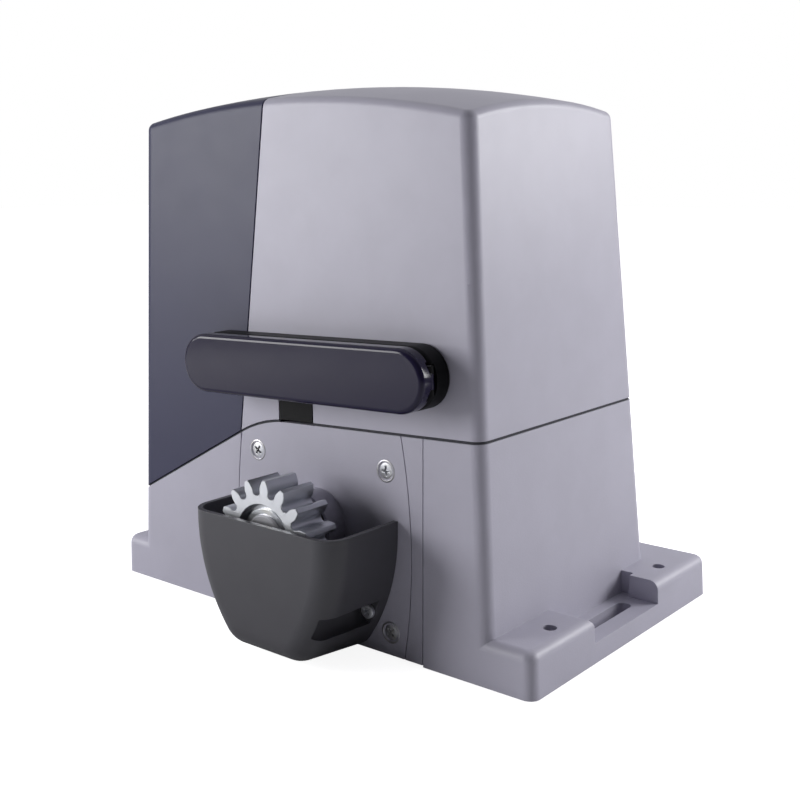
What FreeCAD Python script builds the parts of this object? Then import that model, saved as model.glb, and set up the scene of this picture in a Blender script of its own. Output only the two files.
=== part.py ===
"""Sliding gate motor: every sub-part as its own solid, one STEP file per node.

Frame, in millimetres: the origin is the middle of the base's footprint on the floor,
+X runs along the gate to the right, -Y is the front, where the pinion is, and +Z is up.
"""
import FreeCAD, Part
import math
import os
from FreeCAD import Vector

# ---------------------------------------------------------------- driving dimensions
# Base casting and its feet.
base_length = 330.0
base_depth = 208.0
foot_height = 26.0
foot_corner_radius = 6.5
foot_edge_radius = 6.0
foot_draft = 3.0
base_floor = 10.0
base_wall = 4.0
recess_floor = 12.0
recess_length = 76.0
recess_round = 5.0
wrench_pocket_width = 10.0
wrench_pocket_depth = 5.0
foot_centre_x = -2.0
foot_hole_spacing_x = 305.6
foot_hole_front_inset = 37.5
foot_hole_rear_inset = 42.5
foot_hole_diameter = 8.0
slot_spacing_x = 302.0
slot_length = 55.0
slot_width = 9.0

# Outer envelope of the housing: its reach to each side and its depth, each with its draft
# per millimetre of height.
body_right_reach = 137.7
body_right_draft = 0.054
body_left_reach = 147.6
body_left_draft = 0.070
body_depth = 179.8
body_back_draft = 0.1125
body_front_corner = 7.0
body_rear_corner = 9.0

# Crowned top of the cover.
crown_height = 317.8
crown_x = -3.0
crown_setback = 84.0
crown_headroom = 28.0
crown_half_depth = 110.0
crown_radius_shown = 412.0
crown_side_radius = 662.0
crown_depth_radius = 390.0
cover_edge_radius = 5.0
cover_wall = 3.0
cover_lift = 220.0

# Parting line between cover and base: two straight runs joined by an arc, the same at every depth.
parting_corner_x = -28.0
parting_corner_z = 123.7
parting_left_slope = 28.6
parting_right_slope = 2.6
parting_blend_radius = 90.0
parting_gap = 1.6
gasket_thickness = 1.2
gasket_width = 2.4
gasket_inset = 0.9

# Seam between the dark left panel and the light shell.
seam_x = -62.3
seam_lean = 0.132
seam_gap = 1.0
lap_width = 12.0
lap_thickness = 2.0
joint_clearance = 0.15

# Gear axis, front plate and gearbox.
axis_x = 17.0
axis_z = 69.5
plate_half_width = 67.7
plate_side_radius = 345.0
plate_widest_z = 58.0
plate_thickness = 6.0
plate_bottom = 1.0
plate_boss_radius = 20.0
plate_spigot_radius = 31.0
plate_boss_length = 14.0
seam_width = 0.6
gearbox_right = 92.6
gearbox_left = -47.0
gearbox_depth = 90.0
gearbox_top = 118.0
gearbox_lug_width = 12.0
gearbox_lug_thickness = 6.0
chamber_radius = 42.0
plate_screw_upper_x = 50.0
plate_screw_upper_z = 106.0
plate_screw_lower_x = 53.3
plate_screw_lower_z = 14.5
plate_screw_head = 9.6
plate_screw_shank = 5.0
plate_screw_length = 16.0

# Pinion and output shaft.
pinion_module = 4.0
pinion_teeth = 15
pinion_width = 24.0
pinion_reach = 46.0
pinion_phase = 87.0
pinion_recess_radius = 20.0
pinion_recess_depth = 4.5
pinion_hub_radius = 19.0
pinion_hub_length = 5.0
pressure_angle = 20.0
shaft_radius = 14.0
shaft_setback = 1.0
shaft_rear_setback = 86.0
key_width = 6.0
key_height = 5.0
key_length = 18.0
running_clearance = 0.05
bearing_radius = 26.0
bearing_width = 9.0
seal_width = 6.0
front_bearing_setback = 2.5
collar_radius = 19.0
collar_length = 5.0

# Worm gear.
worm_module = 2.5
wheel_teeth = 30
wheel_width = 18.0
wheel_setback = 56.0
worm_pitch_radius = 10.0
worm_addendum = 2.0
worm_dedendum = 2.8
worm_length = 42.0
tooth_share = 0.38
wheel_rim_thickness = 8.0
wheel_web_thickness = 8.0

# Dog clutch and its release.
clutch_travel = 4.4
clutch_radius = 24.0
clutch_length = 16.0
clutch_groove_width = 6.0
clutch_groove_depth = 4.0
dog_count = 3
dog_height = 4.0
dog_angle = 36.0
dog_play = 4.0
crank_pivot_z = 105.0
crank_arm = 26.0
crank_arm_width = 12.0
crank_tine_gap = 1.0
crank_thickness = 4.0
crank_pin_radius = 2.5
release_rod_radius = 2.5
release_rod_x = -0.7
release_rod_top = 152.0

# Motor.
motor_radius = 46.0
motor_can_thickness = 2.0
motor_length = 118.0
motor_bell_height = 18.0
stator_bore = 25.6
stator_stack = 64.0
winding_height = 18.0
rotor_radius = 25.0
rotor_stack = 66.0
motor_shaft_radius = 6.0
worm_bearing_radius = 15.0
worm_bearing_width = 9.0
tie_bolt_radius = 2.5

# Release bar on the front: seat behind, lever in front, both of stadium outline.
bar_length = 181.0
bar_height = 34.5
bar_centre_x = 20.4
bar_centre_z = 160.9
bar_rise = 2.0
seat_back_gap = 1.0
seat_depth = 13.4
lever_depth = 9.1
lever_gap = 0.4
lever_bevel = 2.6
lever_back_chamfer = 0.8
lever_travel = 90.0
seat_edge_round = 3.0
seat_relief_play = 0.6
hinge_end_distance = 2.6
hinge_pin_radius = 1.2
knuckle_radius = 2.3
knuckle_half_height = 4.0
ear_half_height = 8.0
finger_recess_length = 16.0
finger_recess_depth = 9.0
stem_half_width = 13.0
stem_centre_x = -0.7
stem_depth = 18.0
stem_rise = 15.1
stem_clearance = 0.8
stem_foot_depth = 16.0
stem_foot_height = 8.0

# Pinion guard: at each end of its depth a half width, a side arc, a corner arc and a flat bottom.
guard_centre_x = 19.5
guard_reach = 53.5
guard_top = 80.5
guard_rear_half = 56.0
guard_front_half = 55.5
guard_rear_side_radius = 115.0
guard_front_side_radius = 100.0
guard_rear_side_z = 74.0
guard_front_side_z = 76.0
guard_rear_corner_radius = 16.0
guard_front_corner_radius = 18.0
guard_rear_bottom = 1.0
guard_front_bottom = 4.5
guard_edge_radius = 14.0
guard_wall = 3.0
guard_channel_radius = 7.5
guard_channel_x = 42.0
guard_channel_z = 28.0
guard_screw_seat_reach = 8.0
guard_screw_shank = 4.0
guard_screw_head = 8.4

# Electrical parts.
board_width = 84.0
board_height = 120.0
board_thickness = 1.6
board_left = -110.0
board_bottom = 140.0
board_setback = 32.0
part_inset = 4.0
terminal_count = 6
terminal_pitch = 13.0
terminal_width = 12.0
terminal_depth = 14.0
terminal_height = 12.0
terminal_rise = 3.0
terminal_entry = 3.2
relay_count = 3
relay_inset = 6.0
relay_pitch = 24.0
relay_width = 19.0
relay_depth = 15.5
relay_height = 16.0
relay_rise = 30.0
can_count = 2
can_inset = 18.0
can_pitch = 24.0
can_radius = 8.0
can_length = 20.0
can_rise = 68.0
fuse_inset = 8.0
fuse_rise = 92.0
fuse_count = 2
fuse_pitch = 30.0
fuse_length = 20.0
fuse_radius = 2.6
fuse_clip_width = 4.0
fuse_clip_height = 6.0
tray_thickness = 3.0
standoff_length = 5.0
transformer_width = 52.0
transformer_depth = 40.0
transformer_height = 62.0
transformer_x = -92.0
transformer_setback = 96.0
capacitor_radius = 18.0
capacitor_height = 88.0
capacitor_x = 100.0
capacitor_setback = 128.0
cable_hole_diameter = 20.0
cable_hole_spacing = 38.0
cable_hole_x = -92.0
cable_hole_setback = 144.0
fit_gap = 0.3

# Details that belong to the forms above.
lip_clearance = 0.5
lip_thickness = 1.8
lip_height = 4.0
lip_root = 6.0
lug_half_width = 9.0
lug_thickness = 4.0
lug_slot = 5.2
boss_radius = 5.0
boss_height = 6.0
tray_foot_reach = 22.0
gearbox_edge_radius = 6.0
gearbox_bolt_radius = 3.0
gearbox_bolt_play = 0.25
gearbox_roof = 7.0
cover_screw_left_x = -88.0
cover_screw_right_x = 62.0
cover_screw_rise = 9.0
seat_screw_radius = 2.0
disc_spring_count = 4
plate_spigot = 6.0
seal_radius = 18.0
bearing_shield_depth = 1.2
circlip_thickness = 1.8
circlip_depth = 1.2
disc_spring_thickness = 1.2
worm_bore_radius = 14.0
stator_slots = 12
earth_stud_x = -30.0
earth_stud_setback = 134.0
gearbox_bolt_front_setback = 24.0
gearbox_bolt_rear_setback = 74.0

# ---------------------------------------------------------------- derived places
front_y = -base_depth / 2
rear_y = base_depth / 2
envelope_top = crown_height + crown_headroom
foot_hole_spacing_y = base_depth - foot_hole_front_inset - foot_hole_rear_inset
foot_centre_y = (foot_hole_front_inset - foot_hole_rear_inset) / 2
body_back = front_y + body_depth
crown_y = front_y + crown_setback
gearbox_back = front_y + gearbox_depth
pinion_face_y = front_y - pinion_reach
shaft_rear_y = front_y + shaft_rear_setback
front_bearing_y = front_y + front_bearing_setback
wheel_y = front_y + wheel_setback
guard_front_y = front_y - guard_reach
guard_channel_rear_y = front_y - guard_screw_seat_reach
board_y = front_y + board_setback
transformer_y = front_y + transformer_setback
capacitor_y = front_y + capacitor_setback
cable_hole_y = front_y + cable_hole_setback
earth_stud_y = front_y + earth_stud_setback
stem_height = bar_centre_z + stem_rise
plate_back_y = front_y + plate_thickness
plate_boss_y = front_y - plate_boss_length
pinion_rear_y = pinion_face_y + pinion_width
shaft_front_y = pinion_face_y + shaft_setback
hub_rear_y = pinion_rear_y + pinion_hub_length
wheel_pitch_radius = worm_module * wheel_teeth / 2
worm_x = axis_x + wheel_pitch_radius + worm_pitch_radius
worm_pitch = math.pi * worm_module
motor_bottom = gearbox_top
motor_top = motor_bottom + motor_length
chamber_front_y = plate_back_y + 7.0
chamber_back_y = wheel_y + wheel_width / 2 + 3.0
clutch_back_y = wheel_y - wheel_width / 2 - 1.0
clutch_front_y = clutch_back_y - clutch_length
groove_centre_y = clutch_front_y + clutch_length / 2
crank_pivot_y = groove_centre_y
release_rod_y = crank_pivot_y - crank_arm
crank_tine_x = clutch_radius + crank_tine_gap + crank_thickness / 2
crank_reach = crank_tine_x + crank_thickness / 2 + 1.0
seat_front_y = front_y - seat_back_gap - seat_depth
hinge_y = seat_front_y - lever_gap / 2
lever_back_y = seat_front_y - lever_gap
lever_front_y = lever_back_y - lever_depth
recess_front_y = foot_centre_y - recess_length / 2
recess_rear_y = foot_centre_y + recess_length / 2

FAR = 400.0
X_AXIS = Vector(1, 0, 0)
Y_AXIS = Vector(0, 1, 0)
Z_AXIS = Vector(0, 0, 1)


# ---------------------------------------------------------------- small helpers
def block(x0, x1, y0, y1, z0, z1):
    """Return a box between two corners."""
    return Part.makeBox(x1 - x0, y1 - y0, z1 - z0, Vector(x0, y0, z0))


def cylinder(radius, start, end):
    """Return a cylinder between two points."""
    run = end - start
    return Part.makeCylinder(radius, run.Length, start, run)


def cone(start_radius, end_radius, start, end):
    """Return a cone frustum between two points."""
    run = end - start
    return Part.makeCone(start_radius, end_radius, run.Length, start, run)


def tube(outer, inner, start, end):
    """Return a cylinder with a bore."""
    return cylinder(outer, start, end).cut(cylinder(inner, start, end))


def along_y(radius, y0, y1, x=axis_x, z=axis_z):
    """Return a cylinder along Y, on the gear axis unless told otherwise."""
    return cylinder(radius, Vector(x, y0, z), Vector(x, y1, z))


def ring_y(outer, inner, y0, y1):
    """Return a ring on the gear axis."""
    return along_y(outer, y0, y1).cut(along_y(inner, y0, y1))


def along_z(radius, z0, z1, x, y):
    """Return a vertical cylinder."""
    return cylinder(radius, Vector(x, y, z0), Vector(x, y, z1))


def polygon_prism(points, run):
    """Return the prism of a closed polygon pushed along a vector."""
    wire = Part.makePolygon(points + [points[0]])
    return Part.Face(wire).extrude(run)


def stadium(length, width, centre, run, horizontal=True):
    """Return a prism of stadium outline, in plan when its run is vertical, else seen from the front."""
    radius = width / 2
    half = length / 2 - radius
    flat = abs(run.z) > abs(run.y)
    side = Vector(1, 0, 0) if horizontal else Vector(0, 1, 0)
    up = side.cross(run).normalize() if flat else Vector(0, 0, 1)
    right, left = centre + side * half, centre - side * half
    top = Part.LineSegment(left + up * radius, right + up * radius)
    end = Part.Arc(right + up * radius, right + side * radius, right - up * radius)
    bottom = Part.LineSegment(right - up * radius, left - up * radius)
    start = Part.Arc(left - up * radius, left - side * radius, left + up * radius)
    wire = Part.Wire([edge.toShape() for edge in (top, end, bottom, start)])
    return Part.Face(wire).extrude(run)


def rounded_rectangle(x0, x1, y0, y1, z, front_radius, rear_radius):
    """Return a wire in plan with its own corner radius at the front and at the rear."""
    corners = [
        (x0, y0, 1, 1, front_radius),
        (x1, y0, -1, 1, front_radius),
        (x1, y1, -1, -1, rear_radius),
        (x0, y1, 1, -1, rear_radius),
    ]
    diagonal = 1 - math.sqrt(0.5)
    arcs = []
    for index, (x, y, to_x, to_y, radius) in enumerate(corners):
        on_x = Vector(x + to_x * radius, y, z)
        on_y = Vector(x, y + to_y * radius, z)
        middle = Vector(x + to_x * radius * diagonal, y + to_y * radius * diagonal, z)
        ends = (on_y, on_x) if index % 2 == 0 else (on_x, on_y)
        arcs.append((ends[0], middle, ends[1]))
    edges = []
    for index, (start, middle, end) in enumerate(arcs):
        edges.append(Part.Arc(start, middle, end).toShape())
        edges.append(Part.makeLine(end, arcs[(index + 1) % 4][0]))
    return Part.Wire(edges)


def mirrored(shape, x):
    """Return the shape mirrored left to right about a plane."""
    return shape.mirror(Vector(x, 0, 0), X_AXIS)


def joined(shapes):
    """Return one solid made of several, with its seams cleaned."""
    first, rest = shapes[0], shapes[1:]
    return first.fuse(rest).removeSplitter() if rest else first


def fillet_where(shape, radius, test):
    """Return the shape with every edge filleted whose end points all pass the test."""
    edges = [edge for edge in shape.Edges if all(test(vertex.Point) for vertex in edge.Vertexes)]
    return shape.makeFillet(radius, edges)


# ---------------------------------------------------------------- housing forms
def side_x(side, z, inset=0.0):
    """Return where the envelope's left or right side stands at a height."""
    if side < 0:
        return -(body_left_reach - body_left_draft * z - inset)
    return body_right_reach - body_right_draft * z - inset


def back_y(z, inset=0.0):
    """Return the envelope's back at a height."""
    return body_back - body_back_draft * z - inset


def envelope(inset, z0=0.0, z1=envelope_top):
    """Return the drafted housing block, moved in by an inset on every side."""
    front_radius = max(body_front_corner - inset, 1.5)
    rear_radius = max(body_rear_corner - inset, 1.5)
    sections = []
    for z in (z0, z1):
        left, right = side_x(-1, z, inset), side_x(1, z, inset)
        sections.append(
            rounded_rectangle(left, right, front_y + inset, back_y(z, inset), z, front_radius, rear_radius)
        )
    return Part.makeLoft(sections, True, True)


def dome(inset=0.0):
    """Return the solid under the crowned top: one arc turned about a long axis below the floor."""
    apex = crown_height - inset
    hub_z = apex - crown_side_radius
    depth_radius = crown_depth_radius
    y0, y1 = crown_y - crown_half_depth, crown_y + crown_half_depth
    drop = depth_radius - math.sqrt(depth_radius ** 2 - crown_half_depth ** 2)
    low = apex - crown_radius_shown
    x = crown_x
    arc = Part.Arc(Vector(x, y0, apex - drop), Vector(x, crown_y, apex), Vector(x, y1, apex - drop))
    edges = [
        arc.toShape(),
        Part.makeLine(Vector(x, y1, apex - drop), Vector(x, y1, low)),
        Part.makeLine(Vector(x, y1, low), Vector(x, y0, low)),
        Part.makeLine(Vector(x, y0, low), Vector(x, y0, apex - drop)),
    ]
    face = Part.Face(Part.Wire(edges))
    hub = Vector(x, 0, hub_z)
    face.rotate(hub, Y_AXIS, -28)
    return face.revolve(hub, Y_AXIS, 56)


def parting_tangent():
    """Return the run from the parting line's corner to each end of its blend."""
    return parting_blend_radius * math.tan(math.radians(parting_left_slope - parting_right_slope) / 2)


def parting_z(x):
    """Return the height of the parting line, leaving out its blend."""
    slope = parting_left_slope if x < parting_corner_x else parting_right_slope
    return parting_corner_z + (x - parting_corner_x) * math.tan(math.radians(slope))


def below_parting(lift=0.0):
    """Return everything under the parting line, raised by a lift."""
    left = math.radians(parting_left_slope)
    right = math.radians(parting_right_slope)
    tangent = parting_tangent()
    corner = Vector(parting_corner_x, -FAR, parting_corner_z + lift)
    start = corner - Vector(math.cos(left), 0, math.sin(left)) * tangent
    end = corner + Vector(math.cos(right), 0, math.sin(right)) * tangent
    middle_angle = (left + right) / 2
    sagitta = parting_blend_radius * (1 / math.cos((left - right) / 2) - 1)
    middle = corner + Vector(math.sin(middle_angle), 0, -math.cos(middle_angle)) * sagitta
    far_left = Vector(-FAR / 2, -FAR, parting_z(-FAR / 2) + lift)
    far_right = Vector(FAR / 2, -FAR, parting_z(FAR / 2) + lift)
    low_left = Vector(-FAR / 2, -FAR, -FAR)
    low_right = Vector(FAR / 2, -FAR, -FAR)
    edges = [
        Part.makeLine(far_left, start),
        Part.Arc(start, middle, end).toShape(),
        Part.makeLine(end, far_right),
        Part.makeLine(far_right, low_right),
        Part.makeLine(low_right, low_left),
        Part.makeLine(low_left, far_left),
    ]
    return Part.Face(Part.Wire(edges)).extrude(Vector(0, 2 * FAR, 0))


def seam_line(z):
    """Return where the seam between panel and shell stands at a height."""
    return seam_x + seam_lean * z


def seam_band(from_seam, to_seam):
    """Return the slanted slab between two offsets from the seam, through the whole depth."""
    top = envelope_top + 10.0
    points = [
        Vector(seam_line(0) + from_seam, -FAR, 0),
        Vector(seam_line(0) + to_seam, -FAR, 0),
        Vector(seam_line(top) + to_seam, -FAR, top),
        Vector(seam_line(top) + from_seam, -FAR, top),
    ]
    return polygon_prism(points, Vector(0, 2 * FAR, 0))


def barrel(grow, y0, y1, bottom):
    """Return the front plate's outline with bowed sides, grown by an offset, between two depths."""
    half = plate_half_width + grow
    radius = plate_side_radius + grow
    reach = 75.0
    bow = radius - math.sqrt(radius ** 2 - reach ** 2)
    z0, z1 = plate_widest_z - reach, plate_widest_z + reach
    left, right = axis_x - half, axis_x + half
    edges = [
        Part.Arc(Vector(right - bow, y0, z0), Vector(right, y0, plate_widest_z), Vector(right - bow, y0, z1)).toShape(),
        Part.makeLine(Vector(right - bow, y0, z1), Vector(left + bow, y0, z1)),
        Part.Arc(Vector(left + bow, y0, z1), Vector(left, y0, plate_widest_z), Vector(left + bow, y0, z0)).toShape(),
        Part.makeLine(Vector(left + bow, y0, z0), Vector(right - bow, y0, z0)),
    ]
    solid = Part.Face(Part.Wire(edges)).extrude(Vector(0, y1 - y0, 0))
    return solid.common(block(-FAR, FAR, y0, y1, bottom, FAR))


# ---------------------------------------------------------------- base
def foot_plate():
    """Return the drafted slab that carries the housing and both feet."""
    lean = foot_height * math.tan(math.radians(foot_draft))
    half = base_length / 2
    radius = foot_corner_radius
    low = rounded_rectangle(-half, half, front_y, rear_y, 0, radius, radius)
    high = rounded_rectangle(-half + lean, half - lean, front_y, rear_y - lean, foot_height, radius, radius)
    slab = Part.makeLoft([low, high], True, True)
    return fillet_where(slab, foot_edge_radius, lambda point: point.z > foot_height - 0.01)


def foot_recess(side):
    """Return the cut between the two raised pads of one foot, open at its outer side."""
    inner = abs(side_x(side, foot_height)) - 1.5
    z0, z1 = recess_floor, foot_height + 1.0
    y0, y1 = recess_front_y, recess_rear_y
    r = recess_round
    corner = Vector(inner, y0 - r, foot_height)
    bend = Vector(inner, y0 - r * (1 - math.sqrt(0.5)), foot_height - r * (1 - math.sqrt(0.5)))
    edges = [
        Part.makeLine(Vector(inner, y0 - r, z1), corner),
        Part.Arc(corner, bend, Vector(inner, y0, foot_height - r)).toShape(),
        Part.makeLine(Vector(inner, y0, foot_height - r), Vector(inner, y0, z0)),
        Part.makeLine(Vector(inner, y0, z0), Vector(inner, y1, z0)),
        Part.makeLine(Vector(inner, y1, z0), Vector(inner, y1, z1)),
        Part.makeLine(Vector(inner, y1, z1), Vector(inner, y0 - r, z1)),
    ]
    reach = base_length / 2 - inner + 5.0
    cut = Part.Face(Part.Wire(edges)).extrude(Vector(reach, 0, 0))
    pocket = block(inner, inner + wrench_pocket_width, y1 - 1, y1 + wrench_pocket_depth, z0, z1)
    cut = cut.fuse(pocket)
    return cut if side > 0 else mirrored(cut, 0)


def foot_openings():
    """Return the slots and round holes of both feet."""
    cuts = []
    for side in (-1, 1):
        slot_centre = Vector(foot_centre_x + side * slot_spacing_x / 2, foot_centre_y, -1)
        cuts.append(stadium(slot_length, slot_width, slot_centre, Vector(0, 0, recess_floor + 2), False))
        for end in (-1, 1):
            x = foot_centre_x + side * foot_hole_spacing_x / 2
            y = foot_centre_y + end * foot_hole_spacing_y / 2
            cuts.append(along_z(foot_hole_diameter / 2, -1, foot_height + 1, x, y))
    return cuts


def cable_places():
    """Return the plan positions of the two cable entries."""
    return [(cable_hole_x + step * cable_hole_spacing, cable_hole_y) for step in (0, 1)]


def gearbox_pocket():
    """Return the open front bay of the base, which takes the gearbox."""
    depth = gearbox_back + seam_width - front_y + 1
    bay = block(axis_x, gearbox_right + seam_width, front_y - 1, front_y - 1 + depth, -1, FAR)
    left = block(gearbox_left - seam_width, axis_x, front_y - 1, front_y - 1 + depth, -1, FAR)
    face = barrel(seam_width, front_y - 1, front_y + base_wall + 1, -1).common(
        block(-FAR, axis_x, -FAR, FAR, -1, FAR)
    )
    return bay.fuse([left, face])


def cover_lug_places():
    """Return x and height of the two rear lugs that hold the cover."""
    return [(x, parting_z(x) + cover_screw_rise) for x in (cover_screw_left_x, cover_screw_right_x)]


def lip(lift):
    """Return the inner tongue that rises past the parting line to centre the cover."""
    outer = cover_wall + lip_clearance
    inner = outer + lip_thickness
    ring = envelope(outer, base_floor).cut(envelope(inner, base_floor - 1))
    return ring.common(below_parting(lift)).cut(below_parting(-lip_root))


def base_casting():
    """Return the base: feet, floor, side walls with an inner lip, and lugs for the cover."""
    outside = envelope(0).common(below_parting())
    feet = foot_plate().cut([foot_recess(-1), foot_recess(1)])
    solid = joined([feet, outside]).cut(envelope(base_wall, base_floor))
    parts = [solid, lip(lip_height)]
    slots = []
    for x, z in cover_lug_places():
        wall_y = back_y(z, cover_wall + lip_clearance + lip_thickness)
        parts.append(
            block(x - lug_half_width, x + lug_half_width, wall_y - lug_thickness, wall_y + 0.8, z - 30, z + 9)
        )
        slots.append(block(x - lug_slot / 2, x + lug_slot / 2, wall_y - FAR / 20, wall_y + 6, z, z + 20))
        slots.append(along_y(lug_slot / 2, wall_y - FAR / 20, wall_y + 6, x, z))
    for x, y in boss_places():
        parts.append(along_z(boss_radius, base_floor - 1, base_floor + boss_height, x, y))
    solid = joined(parts)
    cuts = slots + [gearbox_pocket()] + foot_openings()
    for x, y in cable_places():
        cuts.append(along_z(cable_hole_diameter / 2, -1, base_floor + 1, x, y))
    for x, y in gearbox_bolt_places():
        cuts.append(along_z(gearbox_bolt_radius - gearbox_bolt_play, 2.0, base_floor + 1, x, y))
    return solid.cut(cuts)


def boss_places():
    """Return the plan positions of the floor bosses under the board tray."""
    return [(board_left + 12.0, board_y + tray_foot_reach), (board_left + 42.0, board_y + tray_foot_reach)]


def cover_gasket():
    """Return the rubber strip that lies on the base's upper edge."""
    ring = envelope(gasket_inset).cut(envelope(gasket_inset + gasket_width, -1))
    strip = ring.common(below_parting(gasket_thickness)).cut(below_parting())
    gap = stem_half_width + stem_clearance
    return strip.cut(block(stem_centre_x - gap, stem_centre_x + gap, -FAR, 0, 0, FAR))


def cable_gland_places():
    """Return the feet of the two cable glands on the base floor."""
    return [Vector(x, y, base_floor) for x, y in cable_places()]


def cable_glands():
    """Return the rubber-lipped glands that line the cable entries in the floor."""
    glands = []
    for foot in cable_gland_places():
        radius = cable_hole_diameter / 2
        collar = cylinder(radius + 4.0, foot, foot + Z_AXIS * 3.0)
        sleeve = cylinder(radius - fit_gap, foot - Z_AXIS * 8.0, foot + Z_AXIS * 1.0)
        nose = cone(radius + 1.0, radius - 3.0, foot + Z_AXIS * 3.0, foot + Z_AXIS * 11.0)
        bore = cylinder(radius - 5.0, foot - Z_AXIS * 9.0, foot + Z_AXIS * 12.0)
        glands.append(joined([collar, sleeve, nose]).cut(bore))
    return Part.makeCompound(glands)


# ---------------------------------------------------------------- gearbox
def gearbox_housing():
    """Return the casting behind the front plate, with its wheel chamber and worm bore."""
    strip = block(axis_x, gearbox_right, front_y, plate_back_y + 2, plate_bottom, FAR).common(below_parting())
    body = block(gearbox_left, gearbox_right, plate_back_y, gearbox_back, plate_bottom, gearbox_top)
    body = fillet_where(body, gearbox_edge_radius, lambda point: point.y > gearbox_back - 0.01)
    lug_top = base_floor + gearbox_lug_thickness
    lugs = []
    for x, y in gearbox_bolt_places():
        lugs.append(along_z(gearbox_lug_width / 2, base_floor, lug_top, x, y))
        toward = axis_x + (20 if x < axis_x else -20)
        near, far = sorted((x, toward))
        half = gearbox_lug_width / 2
        lugs.append(block(near, far, y - half, y + half, base_floor, lug_top))
    flange = along_z(motor_radius, gearbox_top - 6, gearbox_top, worm_x, wheel_y)
    solid = joined([body, strip, flange] + lugs)
    top_bearing = gearbox_top - worm_bearing_width
    worm_bottom = axis_z - worm_length / 2
    cuts = [
        barrel(seam_width, front_y - 1, plate_back_y, -1),
        along_y(chamber_radius, plate_back_y - 1, chamber_back_y),
        along_y(bearing_radius, chamber_back_y - 1, chamber_back_y + bearing_width),
        along_y(shaft_radius + 1.0, chamber_back_y, gearbox_back - 2.0),
        along_z(worm_bore_radius, worm_bottom - 2, top_bearing - 2, worm_x, wheel_y),
        along_z(worm_bearing_radius, top_bearing, gearbox_top + 1, worm_x, wheel_y),
        along_z(worm_bore_radius - 2, top_bearing - 3, top_bearing + 1, worm_x, wheel_y),
        along_z(worm_bearing_radius, worm_bottom - 2 - worm_bearing_width, worm_bottom - 2, worm_x, wheel_y),
        crank_slot(),
    ]
    cuts += [along_z(gearbox_bolt_radius, 0, lug_top + 1, x, y) for x, y in gearbox_bolt_places()]
    cuts += [hole for hole in plate_screw_holes()]
    return solid.cut(cuts)


def gearbox_bolt_places():
    """Return the plan positions of the bolts that hold the gearbox to the base floor."""
    left = gearbox_left - seam_width - gearbox_lug_width / 2
    right = gearbox_right + seam_width + gearbox_lug_width / 2
    front = front_y + gearbox_bolt_front_setback
    rear = front_y + gearbox_bolt_rear_setback
    return [(left, front), (left, rear), (right, front), (right, rear)]


def crank_slot():
    """Return the room inside the housing for the release crank, its pin and its rod."""
    roof = gearbox_top - gearbox_roof
    left, right = axis_x - crank_reach - 2.0, axis_x + crank_reach + 2.0
    half = crank_arm_width / 2 + 1.0
    return joined([
        block(left, right, crank_pivot_y - 9, crank_pivot_y + 8, axis_z - 6, roof),
        block(stem_centre_x - half, stem_centre_x + half, plate_back_y + 0.5, crank_pivot_y, crank_pivot_z - 8, roof),
        along_z(release_rod_radius + 0.5, crank_pivot_z, gearbox_top + 1, release_rod_x, release_rod_y),
        crank_pin(),
    ] + [along_z(seat_screw_radius, roof + 1, gearbox_top + 1, x, y) for x, y in seat_screw_places()])


def gearbox_bolts():
    """Return the bolts through the gearbox lugs."""
    bolts = []
    seat = base_floor + gearbox_lug_thickness
    for x, y in gearbox_bolt_places():
        head = Part.Face(hexagon(5.0, Vector(x, y, seat))).extrude(Z_AXIS * 4.0)
        shank = along_z(gearbox_bolt_radius - gearbox_bolt_play, 2.0, seat + 1, x, y)
        bolts.append(joined([head, shank]))
    return Part.makeCompound(bolts)


def hexagon(radius, centre):
    """Return a hexagonal wire in plan."""
    points = []
    for step in range(7):
        angle = math.radians(60 * step)
        points.append(centre + Vector(math.cos(angle), math.sin(angle), 0) * radius)
    return Part.makePolygon(points)


def plate_screw_places():
    """Return x and z of the four countersunk screws of the front plate."""
    return [
        (axis_x - plate_screw_upper_x, plate_screw_upper_z - 1.5),
        (axis_x + plate_screw_upper_x, plate_screw_upper_z + 1.5),
        (axis_x - plate_screw_lower_x, plate_screw_lower_z),
        (axis_x + plate_screw_lower_x, plate_screw_lower_z),
    ]


def countersunk(head, shank, length, gap, x, z):
    """Return a countersunk screw form along Y from the front face, grown by a gap."""
    depth = (head - shank) / 2
    start = Vector(x, front_y, z)
    taper = cone(head / 2 + gap, shank / 2 + gap, start, start + Y_AXIS * depth)
    return joined([taper, cylinder(shank / 2 + gap, start, start + Y_AXIS * (length + gap))])


def plate_screw_holes():
    """Return the clearance forms of the plate screws."""
    forms = []
    for x, z in plate_screw_places():
        forms.append(countersunk(plate_screw_head, plate_screw_shank, plate_screw_length, 0.1, x, z))
    return forms


def plate_screws():
    """Return the four countersunk screws with a cross recess each."""
    screws = []
    for x, z in plate_screw_places():
        screw = countersunk(plate_screw_head, plate_screw_shank, plate_screw_length, 0.0, x, z)
        arm = plate_screw_head * 0.27
        cross = block(x - arm, x + arm, front_y - 1, front_y + 1.6, z - 0.6, z + 0.6)
        cross = cross.fuse(block(x - 0.6, x + 0.6, front_y - 1, front_y + 1.6, z - arm, z + arm))
        screws.append(screw.cut(cross))
    return Part.makeCompound(screws)


def guard_screw_places():
    """Return x and z of the two screws that hold the pinion guard."""
    return [(guard_centre_x + side * guard_channel_x, guard_channel_z) for side in (-1, 1)]


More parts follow.
